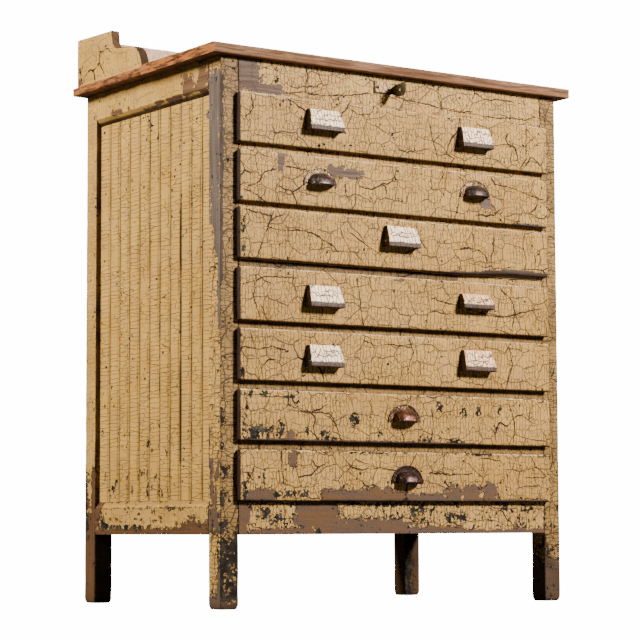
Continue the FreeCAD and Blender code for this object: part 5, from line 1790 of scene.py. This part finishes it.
def lug_tab():
    """Loops from the hole's wall out over one face, round the edge and back over the other."""
    turns = np.linspace(0, 2 * np.pi, 97)
    far = outline_reach(TAB_OUTLINE, EYE, turns)
    shares = np.array([0.0, 0.04, 0.3, 0.6, 0.9, 0.975, 1.0])
    bend = np.array([0.3, 0.0, 0.0, 0.0, 0.0, 0.1, 0.45]) * 0.001
    there_and_back = np.concatenate([shares, shares[::-1], shares[:1]])
    reach = EYE_RADIUS + (far[None, :] - EYE_RADIUS) * there_and_back[:, None]
    depth = np.concatenate([bend, LUG_THICK - bend[::-1], bend[:1]])
    out = EYE[0] + reach * np.cos(turns)
    up = EYE[1] + reach * np.sin(turns)
    x = LUG_RIGHT - LUG_THICK + np.repeat(depth[:, None], len(turns), axis=1)
    grid = np.stack([x, FRONT_PLANE - np.clip(out, 0, None), TAB_LOW + up], axis=-1)
    faces = grid_faces(*grid.shape[:2])
    points = grid.reshape(-1, 3)
    return {"points": points, "faces": faces, "uv": points[:, [1, 2]][faces]}


plate = board((LUG_LEFT, FRONT_PLANE - LUG_THICK, LUG_LOW), (LUG_RIGHT, FRONT_PLANE, LUG_HIGH), 0.0008, 0.002,
              seed=95, worn=0.0002)
# The paint fades out along the plate's left and lower edges, leaving a dark border of bare iron as a painted
# shadow cast down and to the left.
from_edge = np.minimum(plate["points"][:, 0] - LUG_LEFT, plate["points"][:, 2] - LUG_LOW)
plate["coat"] = np.clip((from_edge - PLATE_SHADOW_RIM) / PLATE_SHADOW_FADE, 0, 1) * 0.95
dress("lock_lug_iron", [plate, lug_tab()], lug_iron, "case", ["lock_lug"])
plate_face = FRONT_PLANE - LUG_THICK
lug_heads = [screw_head(LUG_LEFT + 0.009, plate_face, LUG_HIGH - 0.0125, LUG_SCREW_RADIUS, 0.4, 96),
             screw_head(LUG_LEFT + 0.036, plate_face, LUG_HIGH - 0.0215, LUG_SCREW_RADIUS, 1.3, 97)]
dress("lock_lug_screw_heads", lug_heads, screw_brass, "case", ["lock_lug_screws"])

# %% [markdown]
# ## What stays as it is
# The drawer boxes, the runners and the back boards have the right shapes already, so they keep the
# model's meshes and only get their woods. Their grain runs along each board's own length.

# %% Woods of the inner boards
back_boards_wood = wood_material("back_boards_wood", *BACK_TONES, axis="z", rough=(0.65, 0.85))
bolt_steel = wood_material("spare_bolt_steel", (0.20, 0.17, 0.14, 1), (0.10, 0.08, 0.065, 1),
                           (0.05, 0.03, 0.02, 1), axis="y", rough=(0.4, 0.6))
WAY_OF = {"sides": "y", "back": "x", "bottom": "x", "runners": "y"}
for name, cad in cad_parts.items():
    if cad.hide_render:
        continue
    kind = name.split("_")[-1]
    if name == "back_boards":
        finish = back_boards_wood
    elif kind in WAY_OF:
        finish = drawer_wood[WAY_OF[kind]]
    else:
        finish = bolt_steel
    cad.data.materials.clear()
    cad.data.materials.append(finish)
    print(name, "->", finish.name)

# %% [markdown]
# ## Floor and light
# The key light stands to the right of the front and high, so every front throws its shadow down and
# to the left. A second, broad light faces the left side, and a third the back. The floor is matt and
# throws little light back up, so the gaps under the fronts stay dark; a glow that only the lens sees
# makes it white.

# %% Floor and lights
FLOOR_GLOW = 15.0
FLOOR_HALF = 20
AIR_GLOW = 0.02
LAMP_COLOUR = (1.0, 0.985, 0.95)
PURE_WHITE = (1.0, 1.0, 1.0, 1.0)
floor_mesh = bpy.data.meshes.new("studio_floor")
floor_corners = [(FLOOR_HALF * x, FLOOR_HALF * y, 0) for x, y in ((-1, -1), (1, -1), (1, 1), (-1, 1))]
floor_mesh.from_pydata(floor_corners, [], [(0, 1, 2, 3)])
studio_floor = bpy.data.objects.new("studio_floor", floor_mesh)
bpy.context.collection.objects.link(studio_floor)
floor_paint, tree = new_material("pale_studio_floor")
place = object_place(tree)
pale = colour_mix(tree, noise(tree, place, 0.6), (0.05, 0.05, 0.05, 1), (0.06, 0.06, 0.06, 1))
matt, way_out = finish_surface(tree, pale, 0.9, noise(tree, place, 3.0), 0.0001)
glow = node(tree, "Emission", Color=PURE_WHITE, Strength=FLOOR_GLOW)
seen = node(tree, "LightPath").outputs["Is Camera Ray"]
lit = node(tree, "MixShader", Fac=seen)
both = node(tree, "AddShader")
tree.links.new(glow.outputs[0], lit.inputs[2])
tree.links.new(lit.outputs[0], both.inputs[0])
tree.links.new(matt, both.inputs[1])
tree.links.new(both.outputs[0], way_out)
floor_mesh.materials.append(floor_paint)


def area_light(name, place, target, size, power):
    """A square lamp at a place, facing a target."""
    lamp = bpy.data.lights.new(name, "AREA")
    lamp.shape = "SQUARE"
    lamp.size = size
    lamp.energy = power
    lamp.color = LAMP_COLOUR
    made = bpy.data.objects.new(name, lamp)
    bpy.context.collection.objects.link(made)
    made.location = place
    made.rotation_euler = (Vector(target) - Vector(place)).to_track_quat("-Z", "Y").to_euler()
    print(name, power, "W")


area_light("key_light", place=(1.9, -4.35, 3.05), target=(0.0, -0.2, 0.65), size=0.9, power=850.0)
area_light("side_light", place=(-3.6, 0.4, 3.3), target=(-0.4, 0.0, 0.6), size=1.6, power=530.0)
area_light("back_light", place=(2.6, 4.2, 2.3), target=(0.2, 0.1, 0.6), size=1.8, power=420.0)
world = bpy.data.worlds.new("studio_air")
world.use_nodes = True
tree = world.node_tree
tree.nodes.clear()
seen = node(tree, "LightPath").outputs["Is Camera Ray"]
dim = node(tree, "Background", Color=PURE_WHITE, Strength=AIR_GLOW)
bright = node(tree, "Background", Color=PURE_WHITE, Strength=FLOOR_GLOW)
air = node(tree, "MixShader")
tree.links.new(seen, air.inputs[0])
tree.links.new(dim.outputs[0], air.inputs[1])
tree.links.new(bright.outputs[0], air.inputs[2])
out = node(tree, "OutputWorld")
tree.links.new(air.outputs[0], out.inputs[0])
bpy.context.scene.world = world
